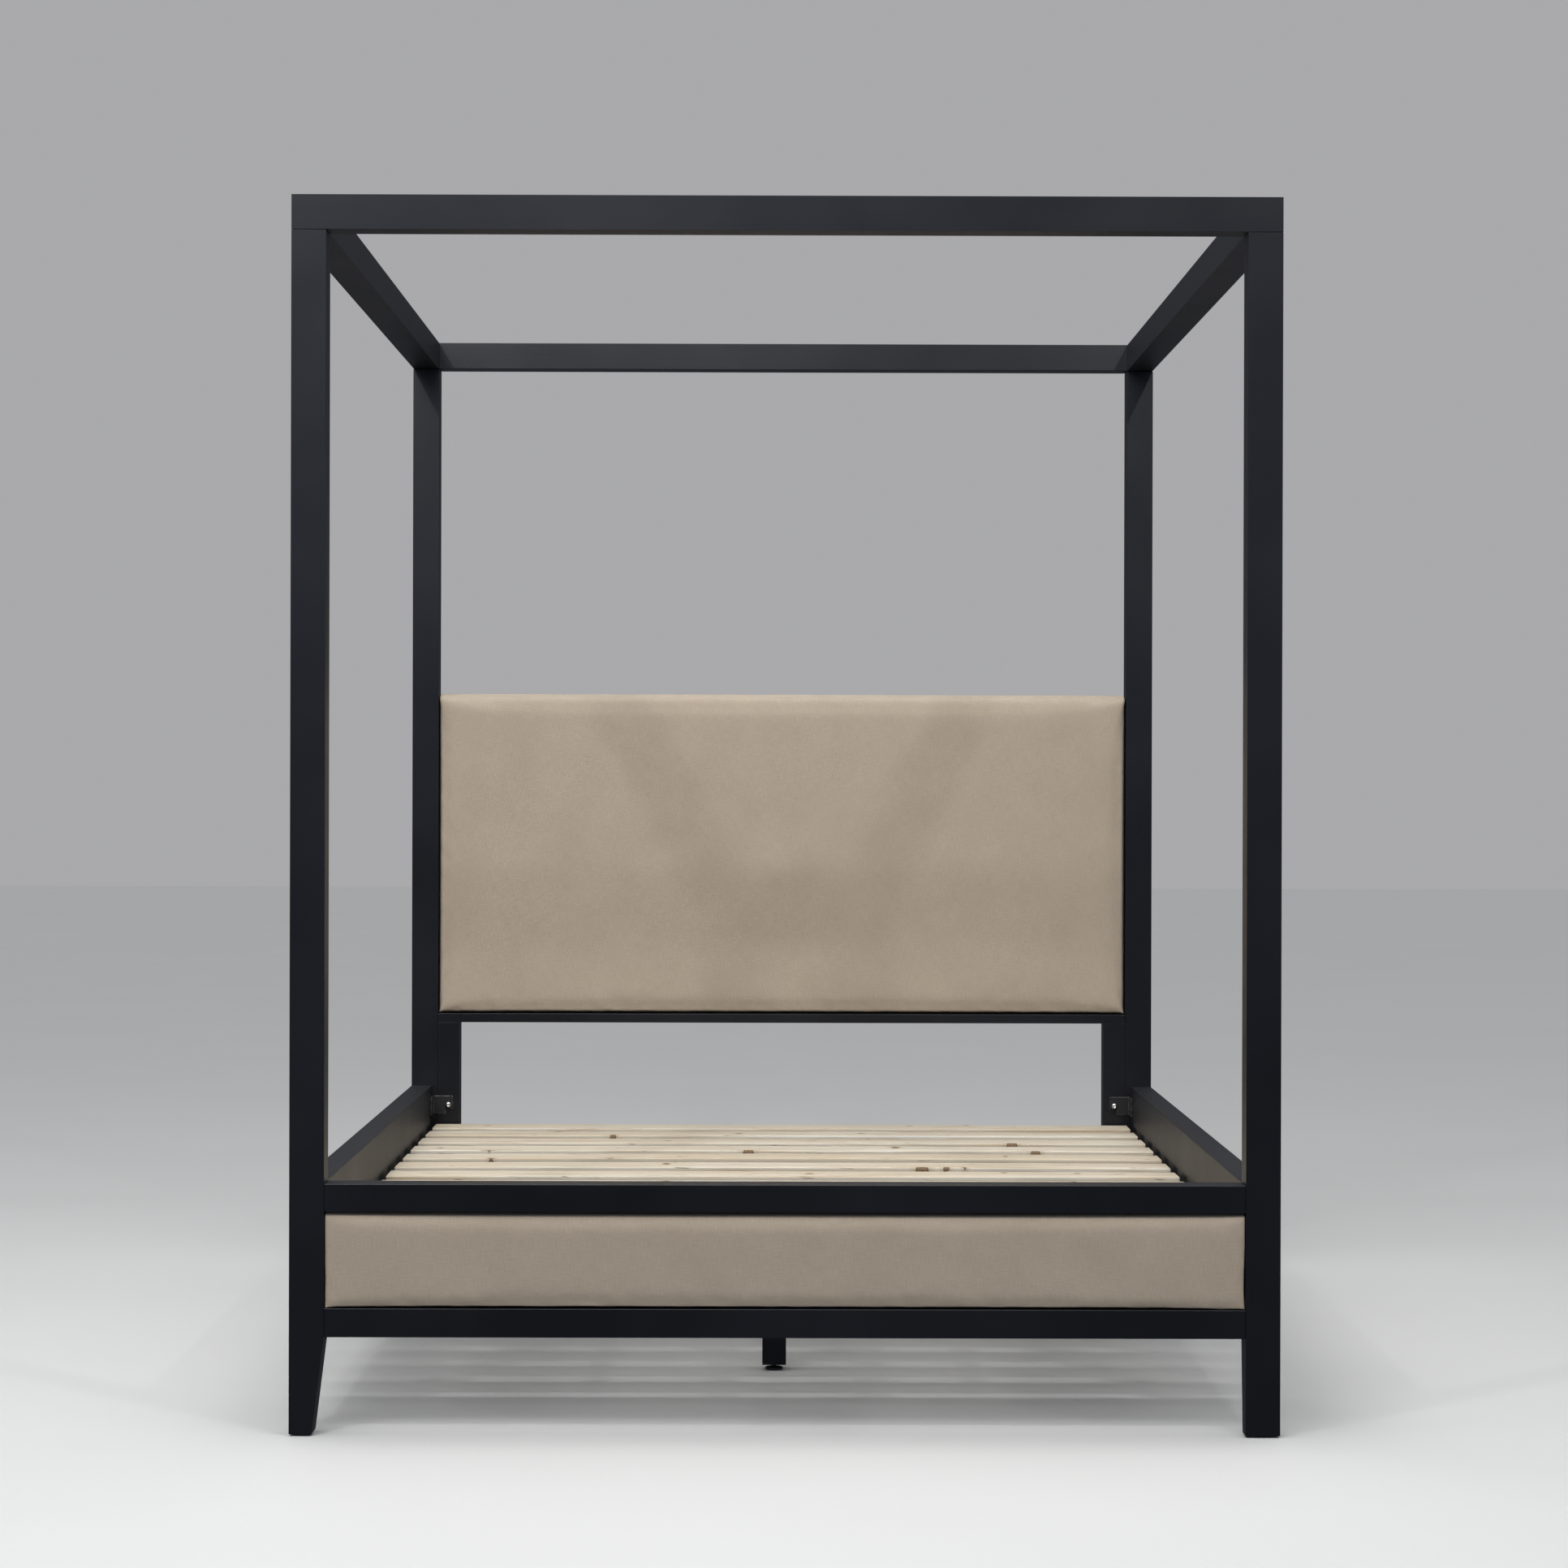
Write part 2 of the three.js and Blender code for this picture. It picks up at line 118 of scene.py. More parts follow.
def between(material, value, low, high, out_low=0.0, out_high=1.0):
    """A value between low and high carried over to the range out_low to out_high, and held there."""
    limits = {"From Min": low, "From Max": high, "To Min": out_low, "To Max": out_high}
    made = add_node(material, "MapRange", Value=value)
    for name, limit in limits.items():
        made.inputs[name].default_value = limit
    return made.outputs["Result"]


def maths(material, operation, first, second=0.5):
    """One sum on one or two values."""
    made = add_node(material, "Math", {"operation": operation})
    feed(material, made.inputs[0], first)
    feed(material, made.inputs[1], second)
    return made.outputs["Value"]


def mixed(material, share, first, second):
    """Two colours mixed, by a share from 0 to 1."""
    made = add_node(material, "Mix", {"data_type": "RGBA"})
    feed(material, made.inputs["Factor"], share)
    colours = [socket for socket in made.inputs if socket.type == "RGBA"]
    feed(material, colours[0], first)
    feed(material, colours[1], second)
    return next(socket for socket in made.outputs if socket.type == "RGBA")


def raised(material, height, depth, under=None):
    """The surface's normal with a relief of that depth in metres, on top of another relief."""
    made = add_node(material, "Bump", Height=height, Distance=depth, Strength=1.0)
    if under is not None:
        feed(material, made.inputs["Normal"], under)
    return made.outputs["Normal"]


def coat(material, shader, colour, roughness, normal):
    """Gives a material's shader its colour, roughness and relief, and returns the material."""
    feed(material, shader.inputs["Base Color"], colour)
    feed(material, shader.inputs["Roughness"], roughness)
    feed(material, shader.inputs["Normal"], normal)
    return material


def black_lacquer(grain, rubbed=False):
    """
    Satin black on filled timber: a trace of grain along X, Y or Z, and the texture of the spray.
    Where it is rubbed, as on an arris, it has a few small pale nicks.
    """
    material, shader = new_material(f"black_lacquer_{grain.lower()}" + "_arris" * rubbed, IOR=1.47)
    stretch = [60.0, 60.0, 60.0]
    stretch["XYZ".index(grain)] = 1.6
    fibres = noise(material, place_on(material, scale=stretch), 1.0, 5.0, 0.62)
    spray = noise(material, place_on(material), 640.0, 2.0)
    clouds = noise(material, place_on(material), 3.2, 3.0)
    tone = mixed(material, between(material, clouds, 0.35, 0.68), LACQUER_DEEP, LACQUER_HAZE)
    tone = mixed(material, between(material, fibres, 0.62, 0.80, 0.0, 0.5), tone, LACQUER_HAZE)
    if rubbed:
        nicks = noise(material, place_on(material), 85.0, 3.0, 0.6)
        tone = mixed(material, between(material, nicks, 0.755, 0.79), tone, LACQUER_NICK)
    gloss = between(material, clouds, 0.30, 0.70, 0.27, 0.33)
    glancing = add_node(material, "LayerWeight", Blend=0.5).outputs["Facing"]
    matter = between(material, glancing, 0.55, 0.90, 0.0, 0.17)
    relief = raised(material, fibres, 0.00010)
    roughness = maths(material, "ADD", gloss, matter)
    return coat(material, shader, tone, roughness, raised(material, spray, 0.000018, relief))


LACQUER = {grain: black_lacquer(grain) for grain in "XYZ"}
ARRIS = {grain: black_lacquer(grain, rubbed=True) for grain in "XYZ"}


def finish_node(node, material, arris=None, edge=None, segments=2):
    """Gives a CAD piece its material, and eases its sharp edges by the arris in their own finish."""
    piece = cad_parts[node]
    piece.data.materials.clear()
    piece.data.materials.append(material)
    if edge is not None:
        piece.data.materials.append(edge)
    if arris:
        weld = piece.modifiers.new("weld", "WELD")
        weld.merge_threshold = 0.000002
        whole = piece.modifiers.new("whole_faces", "DECIMATE")
        whole.decimate_type = "DISSOLVE"
        whole.angle_limit = math.radians(0.5)
        eased = piece.modifiers.new("eased_edges", "BEVEL")
        eased.width = arris
        eased.segments = segments
        eased.limit_method = "ANGLE"
        eased.angle_limit = math.radians(32)
        eased.harden_normals = True
        eased.material = -1 if edge is None else 1


CORNERS = ("front_left", "front_right", "head_left", "head_right")
for corner in CORNERS:
    finish_node(f"post_{corner}", LACQUER["Z"], POST_ARRIS, ARRIS["Z"])


# --------------------------------------------------------------------------------- Post glides
# A round nylon glide is nailed under each leg: a flat disc with a turned rim and a dished middle
# that hides the nail.

GLIDE_RIM = 0.0009
GLIDE_DISH = 0.0006
ROUND = 48


def moulded_plastic():
    """Black moulded plastic with a fine spark-eroded grain."""
    material, shader = new_material("moulded_plastic", IOR=1.5)
    grain = noise(material, place_on(material), 1400.0, 2.0)
    dust = noise(material, place_on(material), 90.0, 4.0)
    dusty = between(material, dust, 0.45, 0.75)
    tone = mixed(material, dusty, (0.010, 0.010, 0.011, 1), (0.024, 0.023, 0.022, 1))
    roughness = between(material, dust, 0.3, 0.7, 0.42, 0.62)
    return coat(material, shader, tone, roughness, raised(material, grain, 0.00004))


MOULDED = moulded_plastic()


def skin_faces(rings, count):
    """Quads between successive rings of count points, and one face that closes each end ring."""
    ring, point = np.meshgrid(np.arange(rings - 1), np.arange(count), indexing="ij")
    following = (point + 1) % count
    corners = [ring * count + point, ring * count + following]
    corners += [(ring + 1) * count + following, (ring + 1) * count + point]
    quads = np.stack(corners, axis=-1).reshape(-1, 4).tolist()
    last = (rings - 1) * count
    return quads + [list(range(count))[::-1], list(range(last, last + count))]


def turned(profile, sides=ROUND, flats=0):
    """
    A shape turned about Z: each row of the profile is a radius and a height, carried round a circle.
    A third number of 1 in a row makes that ring a polygon of so many flats, with that inner radius.
    """
    rows = np.array([list(row) + [0.0] * (3 - len(row)) for row in profile], float)
    angle = np.arange(sides) * 2 * math.pi / sides
    reach = np.ones(sides)
    if flats:
        half = math.pi / flats
        reach = 1 / np.cos((angle % (2 * half)) - half)
    radius = rows[:, :1] * (1 + rows[:, 2:] * (reach - 1))
    height = np.tile(rows[:, 1:2], sides)
    points = np.stack([radius * np.cos(angle), radius * np.sin(angle), height], axis=-1)
    return points.reshape(-1, 3), skin_faces(len(rows), sides)


def set_at(shell, where, axis=(0, 0, 1), turn=0.0):
    """A shell made about Z, turned about it, aimed along an axis and moved into place."""
    points, faces = shell
    aim = Vector(axis).to_track_quat("Z", "Y").to_matrix() @ Matrix.Rotation(turn, 3, "Z")
    return points @ np.array(aim).T + np.array(where), faces


def smooth_mesh(name, points, faces, material):
    """A smooth-shaded mesh of rows of points and lists of corners, in one material."""
    mesh = bpy.data.meshes.new(name)
    mesh.from_pydata(points.tolist(), [], faces)
    mesh.polygons.foreach_set("use_smooth", np.ones(len(mesh.polygons), bool))
    mesh.materials.append(material)
    return mesh


def put_in_scene(name, data):
    """A new object that holds a mesh, a lamp or a camera."""
    made = bpy.data.objects.new(name, data)
    bpy.context.scene.collection.objects.link(made)
    return made


def make_piece(name, shells, material, body, crease=35):
    """One object of one or more closed shells, smooth except across folds sharper than the crease."""
    starts = np.cumsum([0] + [len(points) for points, _ in shells])
    faces = [[int(start) + i for i in face] for start, (_, own) in zip(starts, shells) for face in own]
    mesh = smooth_mesh(name, np.concatenate([points for points, _ in shells]), faces, material)
    mesh.set_sharp_from_angle(angle=math.radians(crease))
    mesh.update()
    piece = put_in_scene(name, mesh)
    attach(piece, body)
    return piece


for corner in CORNERS:
    low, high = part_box(f"post_glide_{corner}")
    radius = (high.x - low.x) / 2
    disc = turned([
        (radius * 0.35, GLIDE_DISH), (radius * 0.45, 0.0), (radius - GLIDE_RIM, 0.0),
        (radius - GLIDE_RIM * 0.3, GLIDE_RIM * 0.3), (radius, GLIDE_RIM), (radius, high.z),
    ])
    centre = ((low.x + high.x) / 2, (low.y + high.y) / 2, low.z)
    glide = make_piece(f"nylon_glide_{corner}", [set_at(disc, centre)], MOULDED, "frame")
    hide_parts(f"post_glide_{corner}")


# -------------------------------------------------------------------------------------- Canopy
# Four rails of the posts' own section. The foot and head rails run over the post tops on steel
# pins, and the side rails are let into them with stub tenons, so only hairline joints show.


def zinc_plate():
    """Bright zinc plate with a faint straw passivation and fine handling marks."""
    material, shader = new_material("zinc_plate", Metallic=1.0)
    clouds = noise(material, place_on(material), 260.0, 3.0)
    marks = noise(material, place_on(material, scale=(900, 900, 120)), 1.0, 3.0)
    straw = between(material, clouds, 0.35, 0.7)
    tone = mixed(material, straw, (0.66, 0.67, 0.69, 1), (0.60, 0.57, 0.49, 1))
    roughness = between(material, marks, 0.3, 0.7, 0.18, 0.34)
    return coat(material, shader, tone, roughness, raised(material, marks, 0.00001))


ZINC = zinc_plate()
PIN_CHAMFER = 0.0006

for side, grain in (("front", "X"), ("head", "X"), ("left", "Y"), ("right", "Y")):
    finish_node(f"canopy_rail_{side}", LACQUER[grain], POST_ARRIS, ARRIS[grain])
for corner in CORNERS:
    finish_node(f"canopy_pin_{corner}", ZINC, PIN_CHAMFER)


# ------------------------------------------------------------------------------ Footboard frame
# Two lacquered rails between the foot posts, with a plywood core board between them. The board's
# back, which faces the mattress, is covered with a black bonded dust cloth.

BOARD_ARRIS = 0.0010
DUST_CLOTH_BLACK = (0.0075, 0.0075, 0.0082, 1)
DUST_CLOTH_WORN = (0.022, 0.022, 0.023, 1)


def dust_cloth_black():
    """Black bonded polypropylene: flat matt fibres pressed in all directions, with emboss points."""
    material, shader = new_material("bonded_dust_cloth", Sheen_Weight=0.15, Sheen_Roughness=0.5)
    slant = noise(material, place_on(material, scale=(1500, 1500, 260), turn=(0, 0.6, 0)), 1.0, 2.0)
    other = noise(material, place_on(material, scale=(260, 1500, 1500), turn=(0, 0.3, 0)), 1.0, 2.0)
    fibres = maths(material, "MAXIMUM", slant, other)
    emboss = add_node(material, "TexVoronoi", Vector=place_on(material), Scale=700.0).outputs["Distance"]
    tone = mixed(material, between(material, fibres, 0.5, 0.75), DUST_CLOTH_BLACK, DUST_CLOTH_WORN)
    roughness = between(material, fibres, 0.3, 0.8, 0.95, 0.75)
    relief = raised(material, emboss, 0.00010)
    return coat(material, shader, tone, roughness, raised(material, fibres, 0.00012, relief))


DUST_CLOTH = dust_cloth_black()

for node in ("footboard_top_rail", "footboard_bottom_rail"):
    finish_node(node, LACQUER["X"], BOARD_ARRIS, ARRIS["X"])
finish_node("footboard_core_board", DUST_CLOTH)


# ---------------------------------------------------------------------------- Footboard cushion
# A foam pad in a plain woven melange cover, glued to the core board. The cover is pulled over the
# foam's edges and stapled behind, so the front is crowned and its rim ripples a little between
# the staples.

CELL = 0.0085            # weave of the working mesh, before it is subdivided once
ROLL_CELLS = 5
WALL_CELLS = 3
FOOT_ROLLS = {"side": 0.004, "top": 0.016, "bottom": 0.0020}
FOOT_CROWN = 0.0034      # how far the cloth may rise from its flat start
PROUD = 0.0012           # how far the middle of a cushion may stand in front of its frame
EDGE_ROOM = 0.0003       # how far inside its box the cover starts
THREAD = 0.0009          # from one thread of the cloth to the next
RIM_STAPLES = 0.075      # from one staple behind the rim to the next
RIM_FADE = 0.018         # how fast the ripple dies away over the front
SWELL = 0.0006           # the foam's own unevenness
HAIRLINE = 0.0001        # least gap to the frame round a cushion
CLOTH_PALE = (0.585, 0.492, 0.385, 1)
CLOTH_MID = (0.500, 0.413, 0.315, 1)
CLOTH_DARK = (0.375, 0.300, 0.222, 1)


def melange_cloth():
    """A plain weave of flecked yarn: threads over and under, slubs along both, soft clouds of tone."""
    material, shader = new_material("melange_cloth", Sheen_Weight=0.22, Sheen_Roughness=0.45, IOR=1.4)
    shader.inputs["Sheen Tint"].default_value = (1.0, 0.93, 0.84, 1)
    weave = place_on(material, "UV", scale=(2 * math.pi / THREAD, 2 * math.pi / THREAD, 1))
    drift = noise(material, place_on(material, "UV"), 160.0, 2.0)
    turns = add_node(material, "SeparateXYZ", Vector=weave).outputs
    warp = maths(material, "ADD", turns["X"], maths(material, "MULTIPLY", drift, 5.0))
    weft = maths(material, "ADD", turns["Y"], maths(material, "MULTIPLY", drift, 7.0))
    warp, weft = maths(material, "SINE", warp), maths(material, "SINE", weft)
    crossing = maths(material, "MULTIPLY", warp, weft)
    upright_yarn = noise(material, place_on(material, "UV", scale=(1 / THREAD, 45, 1)), 1.0, 3.0)
    level_yarn = noise(material, place_on(material, "UV", scale=(45, 1 / THREAD, 1)), 1.0, 3.0)
    yarns = maths(material, "ADD", upright_yarn, level_yarn)
    flecks = noise(material, place_on(material, "UV"), 620.0, 3.0, 0.7)
    clouds = noise(material, place_on(material, "UV"), 9.0, 4.0, 0.55)
    tone = mixed(material, between(material, yarns, 0.82, 1.18), CLOTH_MID, CLOTH_PALE)
    tone = mixed(material, between(material, flecks, 0.58, 0.74, 0.0, 0.75), tone, CLOTH_DARK)
    # Where the weave lies low, between the raised threads, the tone is darkened: painted shade.
    tone = mixed(material, between(material, crossing, -1.0, 0.2, 0.35, 0.0), tone, CLOTH_DARK)
    tone = mixed(material, between(material, clouds, 0.34, 0.66, 0.0, 0.20), tone, CLOTH_DARK)
    roughness = between(material, yarns, 0.7, 1.3, 0.96, 0.86)
    relief = raised(material, yarns, 0.00018)
    return coat(material, shader, tone, roughness, raised(material, crossing, 0.00010, relief))


MELANGE = melange_cloth()


def cover_surface(low, high, rolls, corner_power):
    """
    A cloth laid over a block and down its four sides, as a grid of cells. Inside the front's edges
    a cell keeps its own place. Beyond them the larger of its two counts of cells picks a step of
    the edge: a quarter ellipse first, then straight back. At a corner the ratio of the two counts
    turns the step from sideways to upwards, and the power squares the corner up.
    """
    rim = ROLL_CELLS + WALL_CELLS
    left, right = low.x + rolls["side"], high.x - rolls["side"]
    bottom, top = low.z + rolls["bottom"], high.z - rolls["top"]
    across, up = round((right - left) / CELL), round((top - bottom) / CELL)
    column = np.arange(-rim, across + rim + 1)
    row = np.arange(-rim, up + rim + 1)
    over_x = np.maximum(-column, 0) + np.maximum(column - across, 0)
    over_z = np.maximum(-row, 0) + np.maximum(row - up, 0)
    side_x = np.sign(column - np.clip(column, 0, across))
    side_z = np.sign(row - np.clip(row, 0, up))
    flat_x = left + np.clip(column, 0, across) / across * (right - left)
    flat_z = bottom + np.clip(row, 0, up) / up * (top - bottom)
    roll_z = np.where(side_z > 0, rolls["top"], rolls["bottom"])

    over_x, over_z = np.meshgrid(over_x, over_z, indexing="ij")
    side_x, side_z = np.meshgrid(side_x, side_z, indexing="ij")
    place_x, place_z = np.meshgrid(flat_x, flat_z, indexing="ij")
    roll_z = np.tile(roll_z, (len(column), 1))
    step = np.maximum(over_x, over_z)
    smaller = np.minimum(over_x, over_z) / np.maximum(step, 1)
    angle = np.where(over_x >= over_z, smaller * math.pi / 4, math.pi / 2 - smaller * math.pi / 4)
    power = np.where(side_z > 0, corner_power["top"], corner_power["bottom"])
    cosine, sine = np.abs(np.cos(angle)), np.abs(np.sin(angle))
    squared = (cosine ** power + sine ** power) ** (-1 / power)
    bend = np.clip(step / ROLL_CELLS, 0, 1) * math.pi / 2
    roll_depth = rolls["side"] * cosine ** 2 + roll_z * sine ** 2
    wall = np.clip((step - ROLL_CELLS) / WALL_CELLS, 0, 1) * (high.y - low.y - roll_depth)
    x = place_x + side_x * rolls["side"] * cosine * squared * np.sin(bend)
    z = place_z + side_z * roll_z * sine * squared * np.sin(bend)
    y = low.y + roll_depth * (1 - np.cos(bend)) + wall
    arc_x = side_x * over_x * rolls["side"] * math.pi / 2 / ROLL_CELLS
    arc_z = side_z * over_z * roll_z * math.pi / 2 / ROLL_CELLS
    return np.stack([x, y, z], axis=-1), np.stack([place_x + arc_x, place_z + arc_z], axis=-1), step


def grid_faces(columns, rows):
    """Quads of a grid of points that is stored column by column."""
    column, row = np.meshgrid(np.arange(columns - 1), np.arange(rows - 1), indexing="ij")
    first = column * rows + row
    return np.stack([first, first + rows, first + rows + 1, first + 1], axis=-1).reshape(-1, 4)


def settle_cloth(piece, held, limit, frames=20):
    """
    Lets air into the cover for a few frames while the held points stay put, and returns how far
    each point moves. The movement is eased so that it never passes the limit.
    """
    scene = bpy.context.scene
    held_group = piece.vertex_groups.new(name="held")
    held_group.add(np.flatnonzero(held).tolist(), 1.0, "REPLACE")
    cloth = piece.modifiers.new("cloth", "CLOTH")
    cloth.settings.vertex_group_mass = "held"
    cloth.settings.use_pressure = True
    cloth.settings.uniform_pressure_force = 4.0
    cloth.settings.effector_weights.gravity = 0.0
    cloth.settings.mass = 0.3
    cloth.settings.tension_stiffness = 40.0
    cloth.settings.compression_stiffness = 40.0
    cloth.settings.bending_stiffness = 60.0
    cloth.settings.quality = 4
    cloth.point_cache.frame_start = 1
    cloth.point_cache.frame_end = frames
    for step in range(1, frames + 1):
        scene.frame_set(step)
    blown = piece.evaluated_get(bpy.context.evaluated_depsgraph_get()).data
    start, end = np.zeros((2, len(blown.vertices) * 3))
    piece.data.vertices.foreach_get("co", start)
    blown.vertices.foreach_get("co", end)
    moved = (end - start).reshape(-1, 3)
    piece.modifiers.remove(cloth)
    piece.vertex_groups.remove(held_group)
    scene.frame_set(1)
    length = np.maximum(np.linalg.norm(moved, axis=1, keepdims=True), 1e-9)
    return moved / length * limit * np.tanh(length / limit)


def staple_ripple(place, random, depth, pitch):
    """
    How far the cover draws in between its staples: five waves of uneven length, set about the
    staples' pitch, run round the rim.
    """
    along = place[..., 0] + place[..., 1]
    phases = random.uniform(0, 2 * math.pi, 5)
    lengths = pitch * np.array([0.62, 0.85, 1.0, 1.45, 2.7])
    turns = along[..., None] * 2 * math.pi / lengths + phases
    return depth * np.sin(turns).sum(axis=-1) / 2.6


def make_cushion(name, node, rolls, crown, corner_power, seed, ripple):
    """
    A padded panel that stands for a CAD cushion: the cover is blown up by the simulation, drawn in
    by waves at its staples, swelled a little in broad soft sine waves, and closed behind.
    """
    random = np.random.default_rng(seed)
    low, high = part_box(node)
    room = Vector((EDGE_ROOM, 0, EDGE_ROOM))
    start_low, start_high = low + room + Vector((0, crown - PROUD, 0)), high - room
    surface, cloth_place, step = cover_surface(start_low, start_high, rolls, corner_power)
    columns, rows = step.shape
    mesh = smooth_mesh(name, surface.reshape(-1, 3), grid_faces(columns, rows).tolist(), MELANGE)
    corners = np.zeros(len(mesh.loops), np.int32)
    mesh.loops.foreach_get("vertex_index", corners)
    mesh.uv_layers.new(name="cloth")
    mesh.uv_layers["cloth"].data.foreach_set("uv", cloth_place.reshape(-1, 2)[corners].ravel())
    piece = put_in_scene(name, mesh)

    # How far inside the front's outline each point lies.
    inside_x = np.minimum(surface[..., 0] - start_low.x, start_high.x - surface[..., 0])
    inside_z = np.minimum(surface[..., 2] - start_low.z, start_high.z - surface[..., 2])
    inside = np.minimum(inside_x, inside_z)
    held = (step > ROLL_CELLS + 1).ravel()
    rise = settle_cloth(piece, held, crown).reshape(surface.shape)
    settled = surface + rise
    waves = staple_ripple(cloth_place, random, ripple, RIM_STAPLES)
    fade = np.exp(-np.maximum(inside - 0.004, 0) / RIM_FADE)
    settled[..., 1] += waves * fade * 0.8
    outward_z = np.sign(surface[..., 2] - (low.z + high.z) / 2)
    drawn_in = np.clip(waves, -0.25 * ripple, 0.5 * ripple)
    settled[..., 2] += outward_z * drawn_in * fade * (inside_z < 0.02)
    broad = np.sin(settled[..., 0] * 9.1 + 0.7) * np.sin(settled[..., 2] * 11.3 + 1.9)
    settled[..., 1] += SWELL * broad * (1 - fade)
    foremost = np.array(low) + np.array([HAIRLINE, -PROUD, HAIRLINE])
    settled = np.clip(settled, foremost, np.array(high) - HAIRLINE)
    mesh.vertices.foreach_set("co", settled.ravel())
    mesh.update()

    smooth = piece.modifiers.new("finer", "SUBSURF")
    smooth.levels = smooth.render_levels = 1
    bpy.context.view_layer.update()
    finer = bpy.data.meshes.new_from_object(piece.evaluated_get(bpy.context.evaluated_depsgraph_get()))
    piece.modifiers.clear()
    piece.data = finer
    close_behind(finer)
    finer.name = name
    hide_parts(node)
    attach(piece, "frame")
    return piece


def close_behind(mesh):
    """Closes the open back of a cover with one flat face, turned the same way as its neighbours."""
    shape = bmesh.new()
    shape.from_mesh(mesh)
    rim = [edge for edge in shape.edges if edge.is_boundary]
    made = bmesh.ops.holes_fill(shape, edges=rim, sides=0)["faces"]
    for face in made:
        face.smooth = False
    shape.to_mesh(mesh)
    shape.free()


make_cushion("footboard_padded_cover", "footboard_cushion", FOOT_ROLLS, FOOT_CROWN,
             {"top": 4.0, "bottom": 5.0}, seed=11, ripple=0.0007)


# --------------------------------------------------------------------------------- Side rails
# Deep lacquered boards, flush with the posts outside, with a ledge screwed along the inside of
# each for the slats to rest on. The screws have low domed heads with hexagon sockets.

RAIL_ARRIS = 0.0015
LEDGE_ARRIS = 0.0012
LEDGE_SCREWS = 8         # on each ledge
LEDGE_END = 0.07         # from a ledge's end to its first screw
SCREW_HEAD = 0.0050      # radius of a screw's head, which stands this much proud:
SCREW_PROUD = 0.0009


def socket_head(radius, proud, socket, depth):
    """A low domed screw head with a hexagon socket, turned about Z and standing on z = 0."""
    return turned([
        (radius, -0.0004), (radius, 0.0), (radius * 0.97, proud * 0.45), (radius * 0.85, proud * 0.8),
        (radius * 0.68, proud), (socket * 1.2, proud), (socket, proud - 0.0002, 1),
        (socket, proud - depth, 1), (socket * 0.5, proud - depth - 0.0004),
    ], sides=36, flats=6)


for side, inward in (("left", 1), ("right", -1)):
    finish_node(f"side_rail_{side}", LACQUER["Y"], RAIL_ARRIS, ARRIS["Y"])
    finish_node(f"slat_cleat_{side}", LACQUER["Y"], LEDGE_ARRIS, ARRIS["Y"])
    low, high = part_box(f"slat_cleat_{side}")
    face = high.x if side == "left" else low.x
    middle = (low.z + high.z) / 2
    head = socket_head(SCREW_HEAD, SCREW_PROUD, 0.0020, 0.0012)
    places = np.linspace(low.y + LEDGE_END, high.y - LEDGE_END, LEDGE_SCREWS)
    heads = [set_at(head, (face, y, middle), (inward, 0, 0), turn=3.1 * y) for y in places]
    make_piece(f"ledge_screws_{side}", heads, ZINC, "frame")


# ------------------------------------------------------------------------------ Headboard frame
# The upholstered board stands on a thin lacquered rail and two short legs, all between the head
# posts. A low cross rail joins the legs and carries the head end of the centre beam.

for node in ("headboard_bottom_rail", "head_cross_rail"):
    finish_node(node, LACQUER["X"], BOARD_ARRIS, ARRIS["X"])
for node in ("headboard_leg_left", "headboard_leg_right"):
    finish_node(node, LACQUER["Z"], BOARD_ARRIS, ARRIS["Z"])
finish_node("headboard_core_board", DUST_CLOTH)


# ---------------------------------------------------------------------------- Headboard cushion
# The same cover over thicker foam. Its top edge is rolled full, and its lower corners are folded
# square where they meet the rail.

HEAD_ROLLS = {"side": 0.007, "top": 0.018, "bottom": 0.0050}
HEAD_CROWN = 0.0055

make_cushion("headboard_padded_cover", "headboard_cushion", HEAD_ROLLS, HEAD_CROWN,
             {"top": 2.6, "bottom": 5.0}, seed=23, ripple=0.0009)


# ----------------------------------------------------------------------- Headboard back cloth
# A thin black dust cloth closes the back of the headboard. Its edges are turned under and held
# by a row of wire staples, and it lies a little slack between them.

BACK_MARGIN = 0.012      # board left bare round the cloth
HEM = 0.022
BACK_CLOTH_THICK = 0.0003
STAPLE_PITCH = 0.078
STAPLE_INSET = 0.010     # from the cloth's edge to the staples
STAPLE_CROWN = 0.0105
WIRE = 0.00055           # radius of a staple's wire
EDGE_SLACK = 0.0009      # how far the cloth lifts between two staples
BILLOW = 0.0006          # and over the middle of the board
TURNED_UNDER = 0.0006    # thickness that the hem adds


def wire_staple():
    """
    A driven staple, lying along X on z = 0: a round wire of six points carried along a straight
    crown whose two ends turn down out of sight.
    """
    half = STAPLE_CROWN / 2
    path = np.array([(-half, -2.6 * WIRE), (-half, -0.4 * WIRE), (-half + 0.9 * WIRE, 0.5 * WIRE),
                     (half - 0.9 * WIRE, 0.5 * WIRE), (half, -0.4 * WIRE), (half, -2.6 * WIRE)])
    lean = np.radians([0, 22, 68, 112, 158, 180])
    angle = np.arange(6) * math.pi / 3
    x = path[:, :1] - WIRE * np.cos(angle) * np.cos(lean)[:, None]
    z = path[:, 1:] + WIRE * np.cos(angle) * np.sin(lean)[:, None]
    y = np.tile(WIRE * np.sin(angle), (len(path), 1))
    return np.stack([x, y, z], axis=-1).reshape(-1, 3), skin_faces(len(path), 6)


